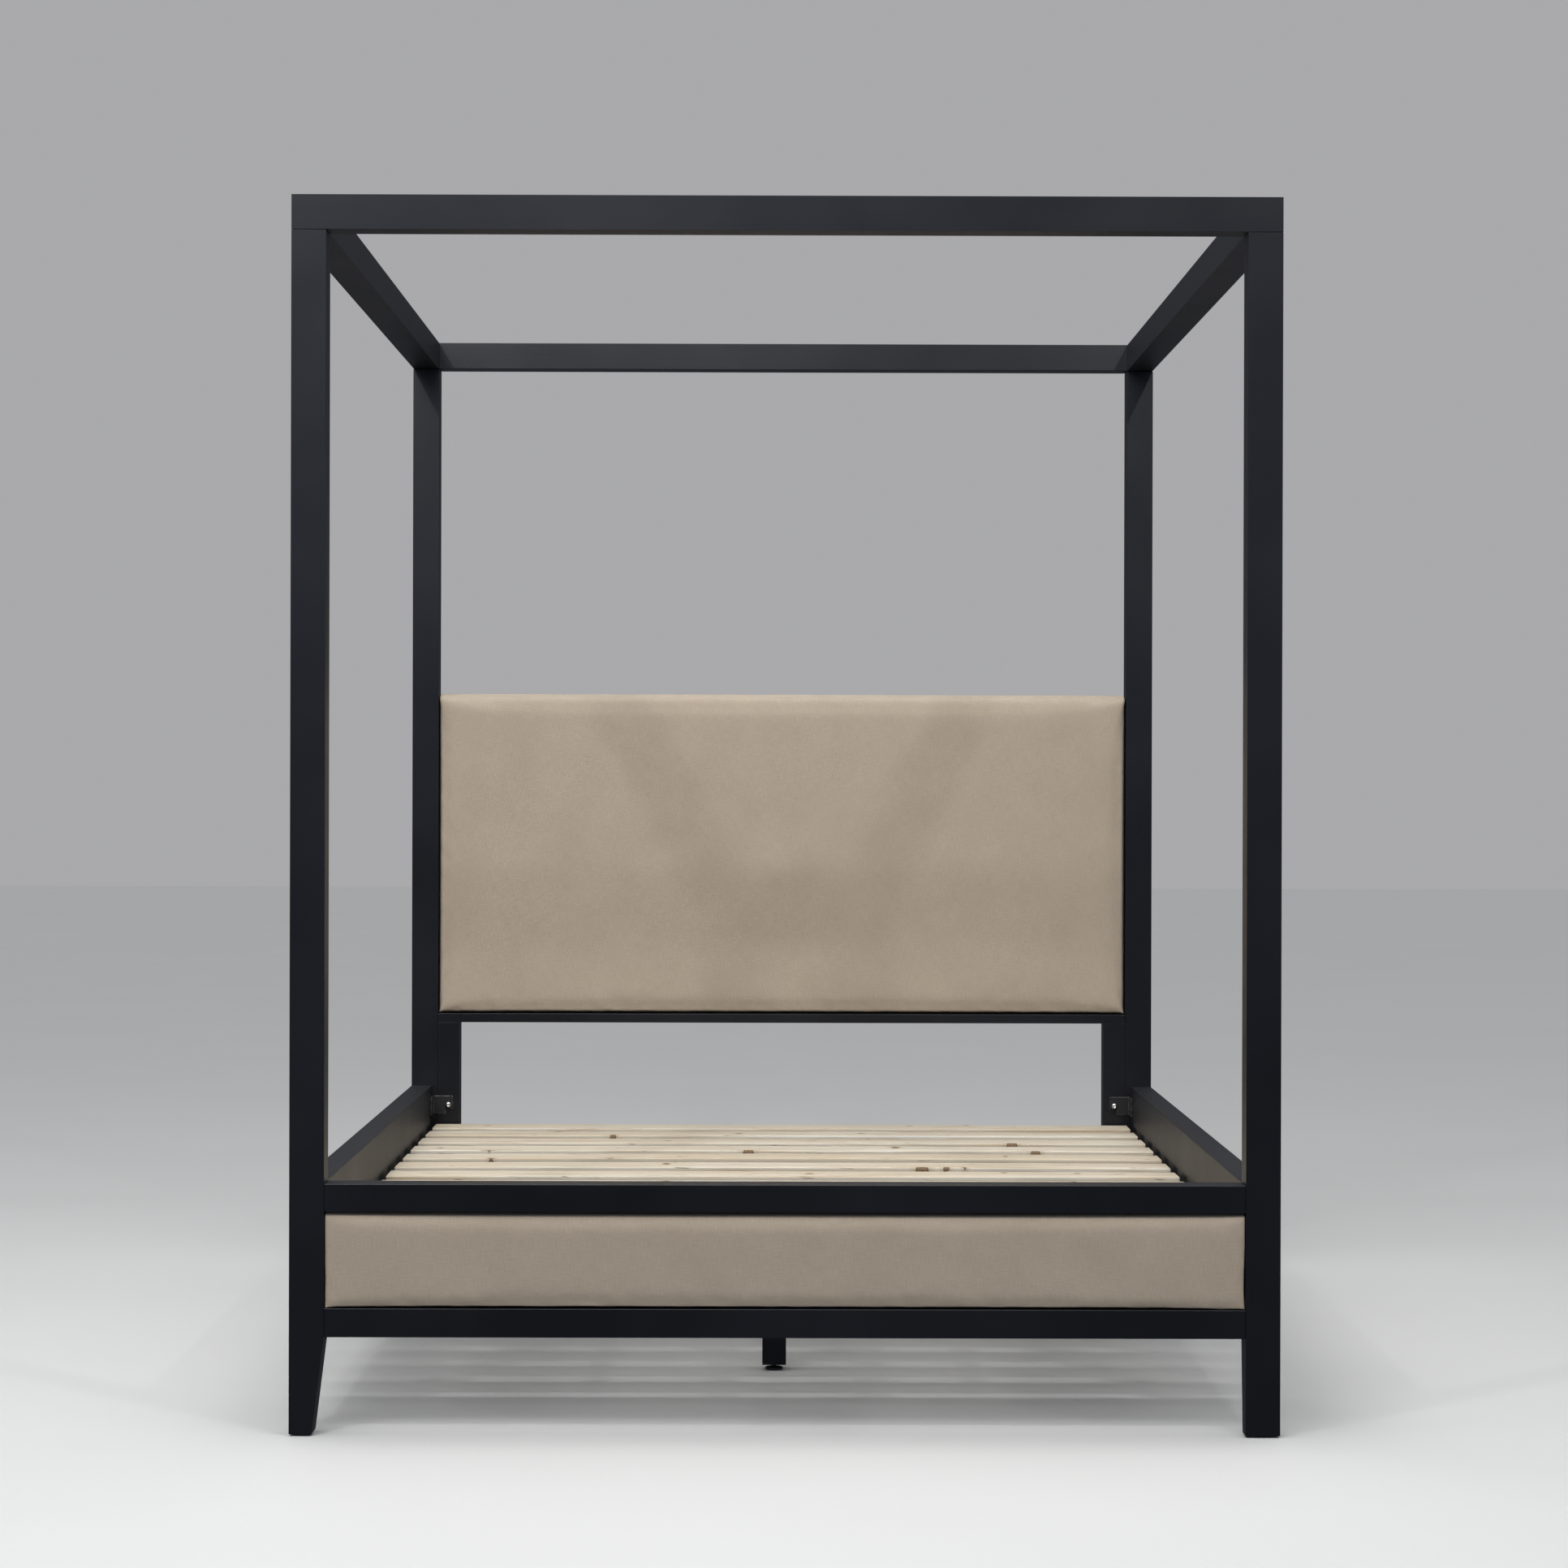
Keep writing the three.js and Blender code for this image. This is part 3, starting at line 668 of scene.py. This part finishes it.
low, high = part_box("headboard_core_board")
left, right = low.x + BACK_MARGIN, high.x - BACK_MARGIN
bottom, top = low.z + BACK_MARGIN, high.z - BACK_MARGIN
columns, rows = 241, 113
across, up = np.meshgrid(np.linspace(left, right, columns), np.linspace(bottom, top, rows), indexing="ij")
from_side = np.minimum(across - left, right - across)
from_end = np.minimum(up - bottom, top - up)
from_edge = np.minimum(from_side, from_end)
along = np.where(from_side < from_end, up - bottom, across - left)
run = np.where(from_side < from_end, top - bottom, right - left)
count = np.round(run / STAPLE_PITCH)
slack = 0.5 - 0.5 * np.cos(2 * math.pi * (along / run * count - 0.5))
lift = EDGE_SLACK * slack * np.exp(-from_edge / 0.03)
billow = np.sin(across * 7.3 + 1.1 * np.sin(up * 5)) * np.sin(up * 9.7)
lift += BILLOW * billow * (1 - np.exp(-from_edge / 0.06))
lift += TURNED_UNDER / (1 + np.exp((from_edge - HEM) / 0.0012))
y = high.y + 0.0002 + np.maximum(lift, 0)
points = np.stack([across, y, up], axis=-1).reshape(-1, 3)
faces = grid_faces(columns, rows)[:, ::-1].tolist()
cloth_mesh = smooth_mesh("headboard_back_cloth", points, faces, DUST_CLOTH)
back_cloth = put_in_scene("headboard_back_cloth", cloth_mesh)
thickness = back_cloth.modifiers.new("thickness", "SOLIDIFY")
thickness.thickness = BACK_CLOTH_THICK
thickness.offset = 1.0
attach(back_cloth, "frame")

staple = wire_staple()
middle_x, middle_z = (left + right) / 2, (bottom + top) / 2
staples = []
for edge_x, edge_z in ((0, -1), (0, 1), (-1, 0), (1, 0)):
    span_x, span_z = (right - left) * (edge_x == 0), (top - bottom) * (edge_z == 0)
    number = round((span_x + span_z) / STAPLE_PITCH)
    edge_place_x = middle_x + edge_x * ((right - left) / 2 - STAPLE_INSET)
    edge_place_z = middle_z + edge_z * ((top - bottom) / 2 - STAPLE_INSET)
    for share in (np.arange(number) + 0.5) / number:
        x, z = edge_place_x + (share - 0.5) * span_x, edge_place_z + (share - 0.5) * span_z
        turn = abs(edge_x) * math.pi / 2 + 0.10 * math.sin(47.0 * share + 3 * edge_x + 5 * edge_z)
        staples.append(set_at(staple, (x, high.y + 0.0012, z), (0, 1, 0), turn))
make_piece("headboard_back_staples", staples, ZINC, "frame", crease=60)


# -------------------------------------------------------------------------- Brackets and bolts
# A black powder-coated steel angle at each end of each side rail, drawn up by one zinc-plated
# furniture bolt with a domed socket head on a black washer.

SHANK = 0.0040           # radii of the bolt's shank, its head and its hexagon socket
BOLT_HEAD = 0.0066
SOCKET = 0.0026
BRACKET_EDGE = 0.0005


def powder_coat(sheared=False):
    """Black powder coat: an even pebbled skin, so thin on a sheared edge that bright steel shows."""
    material, shader = new_material("powder_coat" + "_sheared" * sheared, IOR=1.5)
    pebble = noise(material, place_on(material), 900.0, 2.0)
    chips = noise(material, place_on(material), 240.0, 4.0, 0.7)
    chipped = (0.44, 0.54) if sheared else (0.74, 0.80)
    bare = between(material, chips, *chipped)
    tone = mixed(material, bare, (0.010, 0.010, 0.011, 1), (0.42, 0.42, 0.43, 1))
    feed(material, shader.inputs["Base Color"], tone)
    feed(material, shader.inputs["Metallic"], bare)
    feed(material, shader.inputs["Roughness"], between(material, pebble, 0.3, 0.7, 0.38, 0.55))
    feed(material, shader.inputs["Normal"], raised(material, pebble, 0.00004))
    return material


POWDER = powder_coat()
SHEARED = powder_coat(sheared=True)

for end, out_y in (("front", 1), ("head", -1)):
    for side in ("left", "right"):
        finish_node(f"rail_bracket_{end}_{side}", POWDER, BRACKET_EDGE, SHEARED)
        low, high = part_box(f"bracket_bolt_{end}_{side}")
        rim = (high.x - low.x) / 2
        reach = high.y - low.y
        seat, top = reach - 0.0057, reach - 0.0045
        bolt = turned([
            (SHANK - 0.0008, 0.0), (SHANK, 0.0008), (SHANK, top), (BOLT_HEAD, top),
            (BOLT_HEAD, top + 0.0008), (BOLT_HEAD * 0.96, reach - 0.0022),
            (BOLT_HEAD * 0.82, reach - 0.0010), (BOLT_HEAD * 0.62, reach - 0.0003),
            (SOCKET * 1.22, reach), (SOCKET, reach - 0.0003, 1),
            (SOCKET, reach - 0.0032, 1), (SOCKET * 0.5, reach - 0.0040),
        ], flats=6)
        washer = turned([
            (rim - 0.0003, seat), (rim, seat + 0.0003), (rim, top - 0.0003), (rim - 0.0003, top),
            (SHANK + 0.0003, top),
        ])
        foot = ((low.x + high.x) / 2, low.y if out_y > 0 else high.y, (low.z + high.z) / 2)
        placed = set_at(bolt, foot, (0, out_y, 0), turn=0.4)
        made = make_piece(f"socket_bolt_{end}_{side}", [placed], ZINC, "frame")
        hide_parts(f"bracket_bolt_{end}_{side}")
        placed = set_at(washer, foot, (0, out_y, 0))
        make_piece(f"bolt_washer_{end}_{side}", [placed], POWDER, "frame")


# ----------------------------------------------------------------------- Centre beam and legs
# A lacquered softwood beam in a folded steel hanger at each end, on two square legs bolted to its
# left side. A plastic leveller is screwed up into each leg.

HANGER_EDGE = 0.0004
LEG_ROUND = 0.0030

finish_node("centre_beam", LACQUER["Y"], RAIL_ARRIS, ARRIS["Y"])
for end in ("foot", "head"):
    finish_node(f"beam_hanger_{end}", POWDER, HANGER_EDGE, SHEARED)
for end in ("front", "rear"):
    finish_node(f"centre_leg_{end}", LACQUER["Z"], LEG_ROUND, ARRIS["Z"], segments=3)


# ------------------------------------------------------------------------- Centre leg hardware
# Two carriage bolts pass through the beam and each leg, with their mushroom heads on the beam's
# side and washers and nuts on the leg's. Each leveller is a moulded pad on an M8 threaded stem.

CARRIAGE_HEAD = 0.0085   # radius
NUT_FLAT = 0.0065        # half the distance across a nut's flats
NUT_HEIGHT = 0.0062
THREAD_PITCH = 0.00125
THREAD_DEPTH = 0.00055

mushroom = turned([
    (CARRIAGE_HEAD, -0.0003), (CARRIAGE_HEAD, 0.0006), (CARRIAGE_HEAD * 0.93, 0.0018),
    (CARRIAGE_HEAD * 0.76, 0.0030), (CARRIAGE_HEAD * 0.5, 0.0039), (CARRIAGE_HEAD * 0.2, 0.0043),
], sides=36)
washer_shell = turned([
    (0.0089, -0.0002), (0.0089, 0.0011), (0.0086, 0.0014), (0.0046, 0.0014),
], sides=36)
nut = turned([
    (NUT_FLAT * 0.98, 0.0013, 1), (NUT_FLAT, 0.0017, 1), (NUT_FLAT, NUT_HEIGHT + 0.0008, 1),
    (NUT_FLAT * 0.94, NUT_HEIGHT + 0.0014, 0.3), (0.0043, NUT_HEIGHT + 0.0014), (0.0041, NUT_HEIGHT),
], sides=36, flats=6)
shank_end = turned([
    (0.0039, 0.0010), (0.0039, NUT_HEIGHT + 0.0026), (0.0034, NUT_HEIGHT + 0.0032),
], sides=36)


def threaded_stem(radius, bottom, top, sides=24):
    """
    A screw thread about Z: the radius is drawn in by the thread's depth times how far a point is
    from the crest of the helix, which climbs one pitch a turn, and fades out at both ends.
    """
    height = np.arange(bottom, top, THREAD_PITCH / 5)[:, None]
    angle = np.arange(sides) * 2 * math.pi / sides
    phase = (height / THREAD_PITCH - angle / (2 * math.pi)) % 1
    groove = 1 - np.abs(2 * phase - 1)
    fade = np.clip(np.minimum(height - bottom, top - height) / (2 * THREAD_PITCH), 0, 1)
    reach = radius - THREAD_DEPTH * (1 - (1 - groove) * fade)
    points = np.stack([reach * np.cos(angle), reach * np.sin(angle), np.tile(height, sides)], axis=-1)
    return points.reshape(-1, 3), skin_faces(len(height), sides)


for end in ("front", "rear"):
    low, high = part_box(f"centre_leg_{end}")
    beam_low, beam_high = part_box("centre_beam")
    y = (low.y + high.y) / 2
    fixings = []
    for z, aside in ((beam_low.z + 0.018, -0.008), (beam_low.z + 0.047, 0.008)):
        fixings.append(set_at(mushroom, (beam_high.x, y + aside, z), (1, 0, 0)))
        fixings.append(set_at(washer_shell, (low.x, y + aside, z), (-1, 0, 0)))
        fixings.append(set_at(nut, (low.x, y + aside, z), (-1, 0, 0), turn=0.3 + 40 * z))
        fixings.append(set_at(shank_end, (low.x, y + aside, z), (-1, 0, 0)))
    make_piece(f"centre_leg_bolts_{end}", fixings, ZINC, "frame")

    low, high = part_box(f"leveller_foot_{end}")
    middle = ((low.x + high.x) / 2, (low.y + high.y) / 2, 0)
    pad = (high.x - low.x) / 2
    foot = turned([
        (pad * 0.55, 0.0008), (pad * 0.68, 0.0), (pad - 0.0012, 0.0), (pad - 0.0003, 0.0004),
        (pad, 0.0014), (pad, 0.0036), (pad - 0.0006, 0.0046), (pad - 0.0020, 0.0052),
        (pad * 0.62, 0.0058), (pad * 0.40, 0.0064), (pad * 0.28, 0.0065),
    ])
    stem = threaded_stem(0.004, 0.0063, high.z)
    made = make_piece(f"leveller_{end}", [set_at(foot, middle), set_at(stem, middle)], MOULDED,
                      f"leveller_{end}", crease=50)
    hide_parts(f"leveller_foot_{end}")


# -------------------------------------------------------------------------- Slats and webbing
# Twelve planed pine slats with rounded long edges, stapled to two straps of black webbing so that
# they roll up for packing. Each is a little bowed and twisted as sawn boards are.

PINE_PALE = (0.745, 0.700, 0.605, 1)
PINE_WARM = (0.640, 0.560, 0.430, 1)
PINE_TAN = (0.540, 0.425, 0.280, 1)
PINE_LATE = (0.440, 0.320, 0.185, 1)
KNOT_BROWN = (0.150, 0.080, 0.036, 1)
KNOT_RIM = (0.050, 0.030, 0.016, 1)
RESIN = (0.160, 0.110, 0.065, 1)
RING_WIDTH = 0.0034


def planed_pine():
    """
    Pine sawn from a trunk: pale early wood and darker late wood in rings about the heart, which a
    point's distance from it gives. Small branches leave knots that run outwards from the heart, so
    they are scattered over the length and the angle round it. A few large ones have set places.
    """
    material, shader = new_material("planed_pine", IOR=1.5)
    heart = add_node(material, "Attribute", {"attribute_name": "heart"}).outputs["Vector"]
    placed = add_node(material, "Attribute", {"attribute_name": "knot"}).outputs["Vector"]
    board = add_node(material, "Attribute", {"attribute_name": "tone"}).outputs["Fac"]

    def stretched(along, across):
        return add_node(material, "Mapping", Vector=heart, Scale=(along, across, across)).outputs["Vector"]

    axes = add_node(material, "SeparateXYZ", Vector=heart).outputs
    def length(vector):
        return add_node(material, "VectorMath", {"operation": "LENGTH"}, Vector=vector).outputs["Value"]

    radius = length(stretched(0, 1))
    bearing = maths(material, "ARCTAN2", axes["Z"], axes["Y"])
    unrolled = add_node(material, "CombineXYZ", X=maths(material, "MULTIPLY", axes["X"], 7.5))
    feed(material, unrolled.inputs["Y"], maths(material, "MULTIPLY", bearing, 0.5))
    branches = add_node(material, "TexVoronoi", {"voronoi_dimensions": "2D"},
                        Vector=unrolled.outputs["Vector"], Scale=1.0)
    luck = add_node(material, "SeparateColor", Color=branches.outputs["Color"]).outputs["Red"]
    size = between(material, luck, 0.56, 1.0, 0.004, 0.058)
    branch_far = maths(material, "DIVIDE", branches.outputs["Distance"], size)
    knot_far = maths(material, "MINIMUM", branch_far, length(placed))

    wander = noise(material, stretched(2.2, 22), 1.0, 3.0)
    pushed = maths(material, "ADD", radius, between(material, knot_far, 0.6, 3.4, 0.010, 0.0))
    pushed = maths(material, "ADD", pushed, maths(material, "MULTIPLY", wander, 0.014))
    ring = maths(material, "FRACT", maths(material, "DIVIDE", pushed, RING_WIDTH))
    late = between(material, ring, 0.40, 0.90)
    late = maths(material, "MULTIPLY", late, between(material, ring, 0.92, 1.0, 1.0, 0.0))

    fibre = noise(material, stretched(4.0, 620), 1.0, 4.0, 0.6)
    streak = noise(material, stretched(1.9, 60), 1.0, 4.0, 0.6)
    broad = noise(material, stretched(1.0, 17), 1.0, 2.0)
    resin = noise(material, stretched(14, 130), 1.0, 2.0)
    tone = mixed(material, between(material, broad, 0.40, 0.60), PINE_PALE, PINE_WARM)
    tone = mixed(material, maths(material, "MULTIPLY", board, 0.6), tone, PINE_WARM)
    tone = mixed(material, between(material, streak, 0.53, 0.64, 0.0, 0.8), tone, PINE_TAN)
    tone = mixed(material, maths(material, "MULTIPLY", late, 0.45), tone, PINE_LATE)
    tone = mixed(material, between(material, fibre, 0.60, 0.80, 0.0, 0.45), tone, PINE_LATE)
    tone = mixed(material, between(material, resin, 0.665, 0.74, 0.0, 0.85), tone, RESIN)
    tone = mixed(material, between(material, knot_far, 1.0, 2.3, 0.65, 0.0), tone, PINE_LATE)
    growth = maths(material, "SINE", maths(material, "MULTIPLY", knot_far, 19.0))
    inside = mixed(material, between(material, growth, -1.0, 1.0, 0.0, 0.5), KNOT_BROWN, PINE_LATE)
    tone = mixed(material, between(material, knot_far, 0.92, 1.02, 1.0, 0.0), tone, inside)
    bark = maths(material, "MULTIPLY", between(material, knot_far, 0.80, 0.94),
                 between(material, knot_far, 0.98, 1.14, 1.0, 0.0))
    tone = mixed(material, maths(material, "MULTIPLY", bark, 0.8), tone, KNOT_RIM)
    roughness = between(material, late, 0.0, 1.0, 0.68, 0.52)
    relief = raised(material, late, 0.00006)
    return coat(material, shader, tone, roughness, raised(material, fibre, 0.00012, relief))


PINE = planed_pine()


def rounded_section(width, height, radius, steps=5):
    """Points round a rectangle with quarter-circle corners, anticlockwise from the lower right."""
    angle = np.linspace(0, math.pi / 2, steps)
    corners = []
    for turn, (side, up) in enumerate([(1, -1), (1, 1), (-1, 1), (-1, -1)]):
        sweep = angle + (turn - 1) * math.pi / 2
        centre = (side * (width / 2 - radius), up * (height / 2 - radius))
        corners.append(np.array(centre) + radius * np.stack([np.cos(sweep), np.sin(sweep)], axis=-1))
    return np.concatenate(corners)


SLAT_ROUND = 0.0030      # radius of a slat's long edges
SAWN_ARRIS = 0.0005
TWIST = 0.45             # most that a slat turns from its middle to its end, in degrees
BOW = 0.0022             # most that it rises at its middle
CROOK = 0.0018           # most that it bends sideways


def make_slat(node, number):
    """
    One slat: its section is carried along X, lifted and bent sideways along shallow parabolas,
    turned evenly from end to end, and drawn in by a hair at the two sawn ends. Each point keeps its
    place from the tree's heart and from the nearest large knot, for the grain.
    """
    random = np.random.default_rng(700 + number)
    low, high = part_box(node)
    length, width, thickness = high.x - low.x, high.y - low.y, high.z - low.z
    middle = np.array((low + high) / 2)
    x = np.linspace(-length / 2, length / 2, 41)
    x = np.concatenate([[x[0], x[0] + SAWN_ARRIS], x[1:-1], [x[-1] - SAWN_ARRIS, x[-1]]])
    inset = np.ones(len(x))
    inset[[0, -1]] = 0
    outline = rounded_section(width, thickness, SLAT_ROUND)
    smaller = rounded_section(width - 2 * SAWN_ARRIS, thickness - 2 * SAWN_ARRIS, SLAT_ROUND - SAWN_ARRIS)
    section = smaller[None] + (outline - smaller)[None] * inset[:, None, None]
    share = x / (length / 2)
    twist = np.radians(random.uniform(-TWIST, TWIST)) * share
    bow = random.uniform(0.0, BOW) * (1 - share ** 2)
    crook = random.uniform(-CROOK, CROOK) * (1 - share ** 2)
    cosine, sine = np.cos(twist)[:, None], np.sin(twist)[:, None]
    y = section[..., 0] * cosine - section[..., 1] * sine + crook[:, None]
    z = section[..., 0] * sine + section[..., 1] * cosine + bow[:, None] + np.abs(sine) * width / 2
    points = np.stack([np.tile(x[:, None], (1, len(outline))), y, z], axis=-1).reshape(-1, 3)
    count = len(outline)
    shell = (points + middle, skin_faces(len(x), count))
    slat = make_piece(f"pine_{node}", [shell], PINE, "slat_deck")

    flat = np.concatenate([np.tile(x[:, None, None], (1, count, 1)), section], axis=-1).reshape(-1, 3)
    heart_y = random.uniform(-0.05, 0.05)
    heart_z = random.choice([-1, 1]) * random.uniform(0.018, 0.075)
    lean_y, lean_z = random.uniform(-0.012, 0.012), random.uniform(-0.010, 0.010)
    heart = flat - np.array([random.uniform(-9, 9), heart_y, heart_z])
    heart[:, 1] -= lean_y * flat[:, 0]
    heart[:, 2] -= lean_z * flat[:, 0]
    knots = np.array(KNOTS.get(number, [(9.0, 0.0, 0.0, 0.008)]))
    apart = (flat - knots[:, None, :3]) * np.array([0.8, 1, 1]) / knots[:, None, 3:]
    knot = apart[np.argmin(np.linalg.norm(apart, axis=-1), axis=0), np.arange(len(flat))]
    knot[np.abs(knot[:, 0]) > KNOT_REACH] = KNOT_REACH
    for name, values in (("heart", heart), ("knot", knot)):
        slat.data.attributes.new(name, "FLOAT_VECTOR", "POINT").data.foreach_set("vector", values.ravel())
    tone = np.full(len(flat), random.uniform(0, 1))
    slat.data.attributes.new("tone", "FLOAT", "POINT").data.foreach_set("value", tone)
    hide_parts(node)


# Large knots that break out on a slat's front edge. Each has a place along the slat, across it and
# above its middle, and a size.
KNOTS = {
    7: [(0.276, -0.046, 0.001, 0.010), (0.361, -0.044, 0.004, 0.004)],
    9: [(-0.070, -0.045, 0.001, 0.009), (0.524, -0.046, 0.001, 0.008)],
    10: [(0.486, -0.045, 0.002, 0.009)],
}
KNOT_REACH = 6.0         # beyond so many of its sizes a knot is out of mind
slats = sorted(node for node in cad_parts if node[:5] == "slat_" and node[5:].isdigit())
for number, node in enumerate(slats, start=1):
    make_slat(node, number)


def webbing_tape():
    """Black polypropylene webbing: close ribs across the strap in a plain weave."""
    material, shader = new_material("webbing_tape", Sheen_Weight=0.2)
    places = add_node(material, "SeparateXYZ", Vector=place_on(material, scale=(3600, 2500, 1)))
    ribs = maths(material, "SINE", places.outputs["Y"])
    threads = maths(material, "SINE", places.outputs["X"])
    weave = maths(material, "MULTIPLY", ribs, threads)
    fuzz = noise(material, place_on(material), 500.0, 3.0)
    worn = between(material, fuzz, 0.4, 0.7)
    tone = mixed(material, worn, (0.012, 0.012, 0.013, 1), (0.030, 0.030, 0.031, 1))
    roughness = between(material, fuzz, 0.3, 0.7, 0.75, 0.9)
    return coat(material, shader, tone, roughness, raised(material, weave, 0.00018))


WEBBING = webbing_tape()
STRAP_DIP = 0.0022       # how far a strap sags between two slats
slat_edges = np.array([[corner.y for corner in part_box(node)] for node in slats])
slat_middles = slat_edges.mean(axis=1)
slat_half = (slat_edges[0, 1] - slat_edges[0, 0]) / 2
half_gap = (slat_middles[1] - slat_middles[0]) / 2 - slat_half

for side in ("left", "right"):
    # The strap's section, a flat oval, is carried along Y under the slats and dips between them.
    low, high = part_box(f"slat_webbing_{side}")
    section = rounded_section(high.x - low.x, high.z - low.z, 0.0006)
    y = np.linspace(low.y, high.y, 240)
    clear = np.min(np.abs(y[:, None] - slat_middles), axis=1) - slat_half
    dip = STRAP_DIP * np.sin(np.clip(clear / half_gap, 0, 1) * math.pi / 2) ** 2
    x = np.tile((low.x + high.x) / 2 + section[:, 0], (len(y), 1))
    z = (low.z + high.z) / 2 + section[:, 1] - dip[:, None]
    points = np.stack([x, np.tile(y[:, None], (1, len(section))), z], axis=-1).reshape(-1, 3)
    quads = [face[::-1] for face in skin_faces(len(y), len(section))]
    strap = make_piece(f"webbing_strap_{side}", [(points, quads)], WEBBING, "slat_deck")
    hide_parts(f"slat_webbing_{side}")
    staples = []
    for slat_y in slat_middles:
        for aside, shift in ((-0.009, 0.012), (0.009, -0.013)):
            place = ((low.x + high.x) / 2 + aside, slat_y + shift, low.z + 0.0001)
            staples.append(set_at(staple, place, (0, 0, -1), turn=40 * aside))
    make_piece(f"webbing_staples_{side}", staples, ZINC, "slat_deck", crease=60)


# -------------------------------------------------------------------------------------- Studio
# A plain pale floor under a soft ceiling of light, soft banks overhead and at the front, two small
# lamps that cast the canopy's shadow on the headboard, and the camera square to the bed's foot.

floor_material, floor_shader = new_material("studio_floor", Roughness=0.6, IOR=1.3)
floor_tone = noise(floor_material, place_on(floor_material), 1.5, 4.0)
feed(floor_material, floor_shader.inputs["Base Color"],
     mixed(floor_material, floor_tone, (0.66, 0.66, 0.65, 1), (0.69, 0.69, 0.68, 1)))
corners = 30.0 * np.array([(-1, -1, 0), (1, -1, 0), (1, 1, 0), (-1, 1, 0)])
floor = put_in_scene("studio_floor", smooth_mesh("studio_floor", corners, [(0, 1, 2, 3)], floor_material))
floor.visible_glossy = floor.visible_diffuse = False
floor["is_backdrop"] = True

world = bpy.data.worlds.new("studio")
bpy.context.scene.world = world
world.use_nodes = True
seen = add_node(world, "LightPath").outputs["Is Camera Ray"]
backdrop = mixed(world, seen, (0.095, 0.10, 0.115, 1), (0.40, 0.40, 0.41, 1))
feed(world, world.node_tree.nodes["Background"].inputs["Color"], backdrop)


def add_light(kind, name, power, colour, place, aim, size=None, spread=None):
    """A soft lamp at a place, facing another, that lights the bed and isn't seen by the camera."""
    lamp = bpy.data.lights.new(name, kind)
    lamp.energy = power
    lamp.color = colour
    if kind == "AREA":
        lamp.shape = "RECTANGLE"
        lamp.size, lamp.size_y = size
    else:
        lamp.angle = spread
    holder = put_in_scene(name, lamp)
    holder.location = place
    holder.rotation_euler = (Vector(aim) - Vector(place)).to_track_quat("-Z", "Y").to_euler()
    holder.visible_camera = False


WHITE = (1.0, 1.0, 1.0)
SKY = (0.57, 0.69, 1.0)
add_light("SUN", "bright_ceiling", 1.55, WHITE, (0, -0.6, 6), (0, 0, 0), spread=math.radians(120))
add_light("AREA", "overhead_bank", 74, WHITE, (-0.4, -0.9, 3.9), (-0.2, -0.5, 0), size=(3.0, 2.4))
add_light("AREA", "front_bank", 53, SKY, (-3.5, -9.5, 3.4), (0, 0, 1.6), size=(9.0, 4.2))
add_light("AREA", "right_bank", 7, SKY, (2.4, -9.5, 2.1), (0.8, 0, 1.3), size=(1.6, 2.6))
add_light("AREA", "high_front_bank", 133, WHITE, (-1.8, -6.2, 4.9), (0, 1.0, 0.7), size=(4.5, 1.8))
add_light("AREA", "lamp_left", 22, WHITE, (-1.61, -3.52, 3.5), (0, 0.5, 0.8), size=(0.06, 0.06))
add_light("AREA", "lamp_right", 22, WHITE, (1.53, -3.52, 3.5), (0, 0.5, 0.8), size=(0.06, 0.06))

CAMERA_PLACE = (-0.0263, -7.2615, 1.0971)
CAMERA_PAN = math.radians(-0.209)
CAMERA_TILT = math.radians(-0.087)
CAMERA_ROLL = math.radians(0.150)
camera = bpy.data.cameras.new("camera")
camera.sensor_width = 36
camera.lens = 85.22
camera.clip_end = 200
holder = put_in_scene("camera", camera)
holder.location = CAMERA_PLACE
aim = Euler((math.pi / 2 + CAMERA_TILT, 0, CAMERA_PAN)).to_matrix()
holder.rotation_euler = (aim @ Matrix.Rotation(CAMERA_ROLL, 3, "Z")).to_euler()
bpy.context.scene.camera = holder
bpy.context.scene.view_settings.view_transform = "Standard"

low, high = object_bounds()
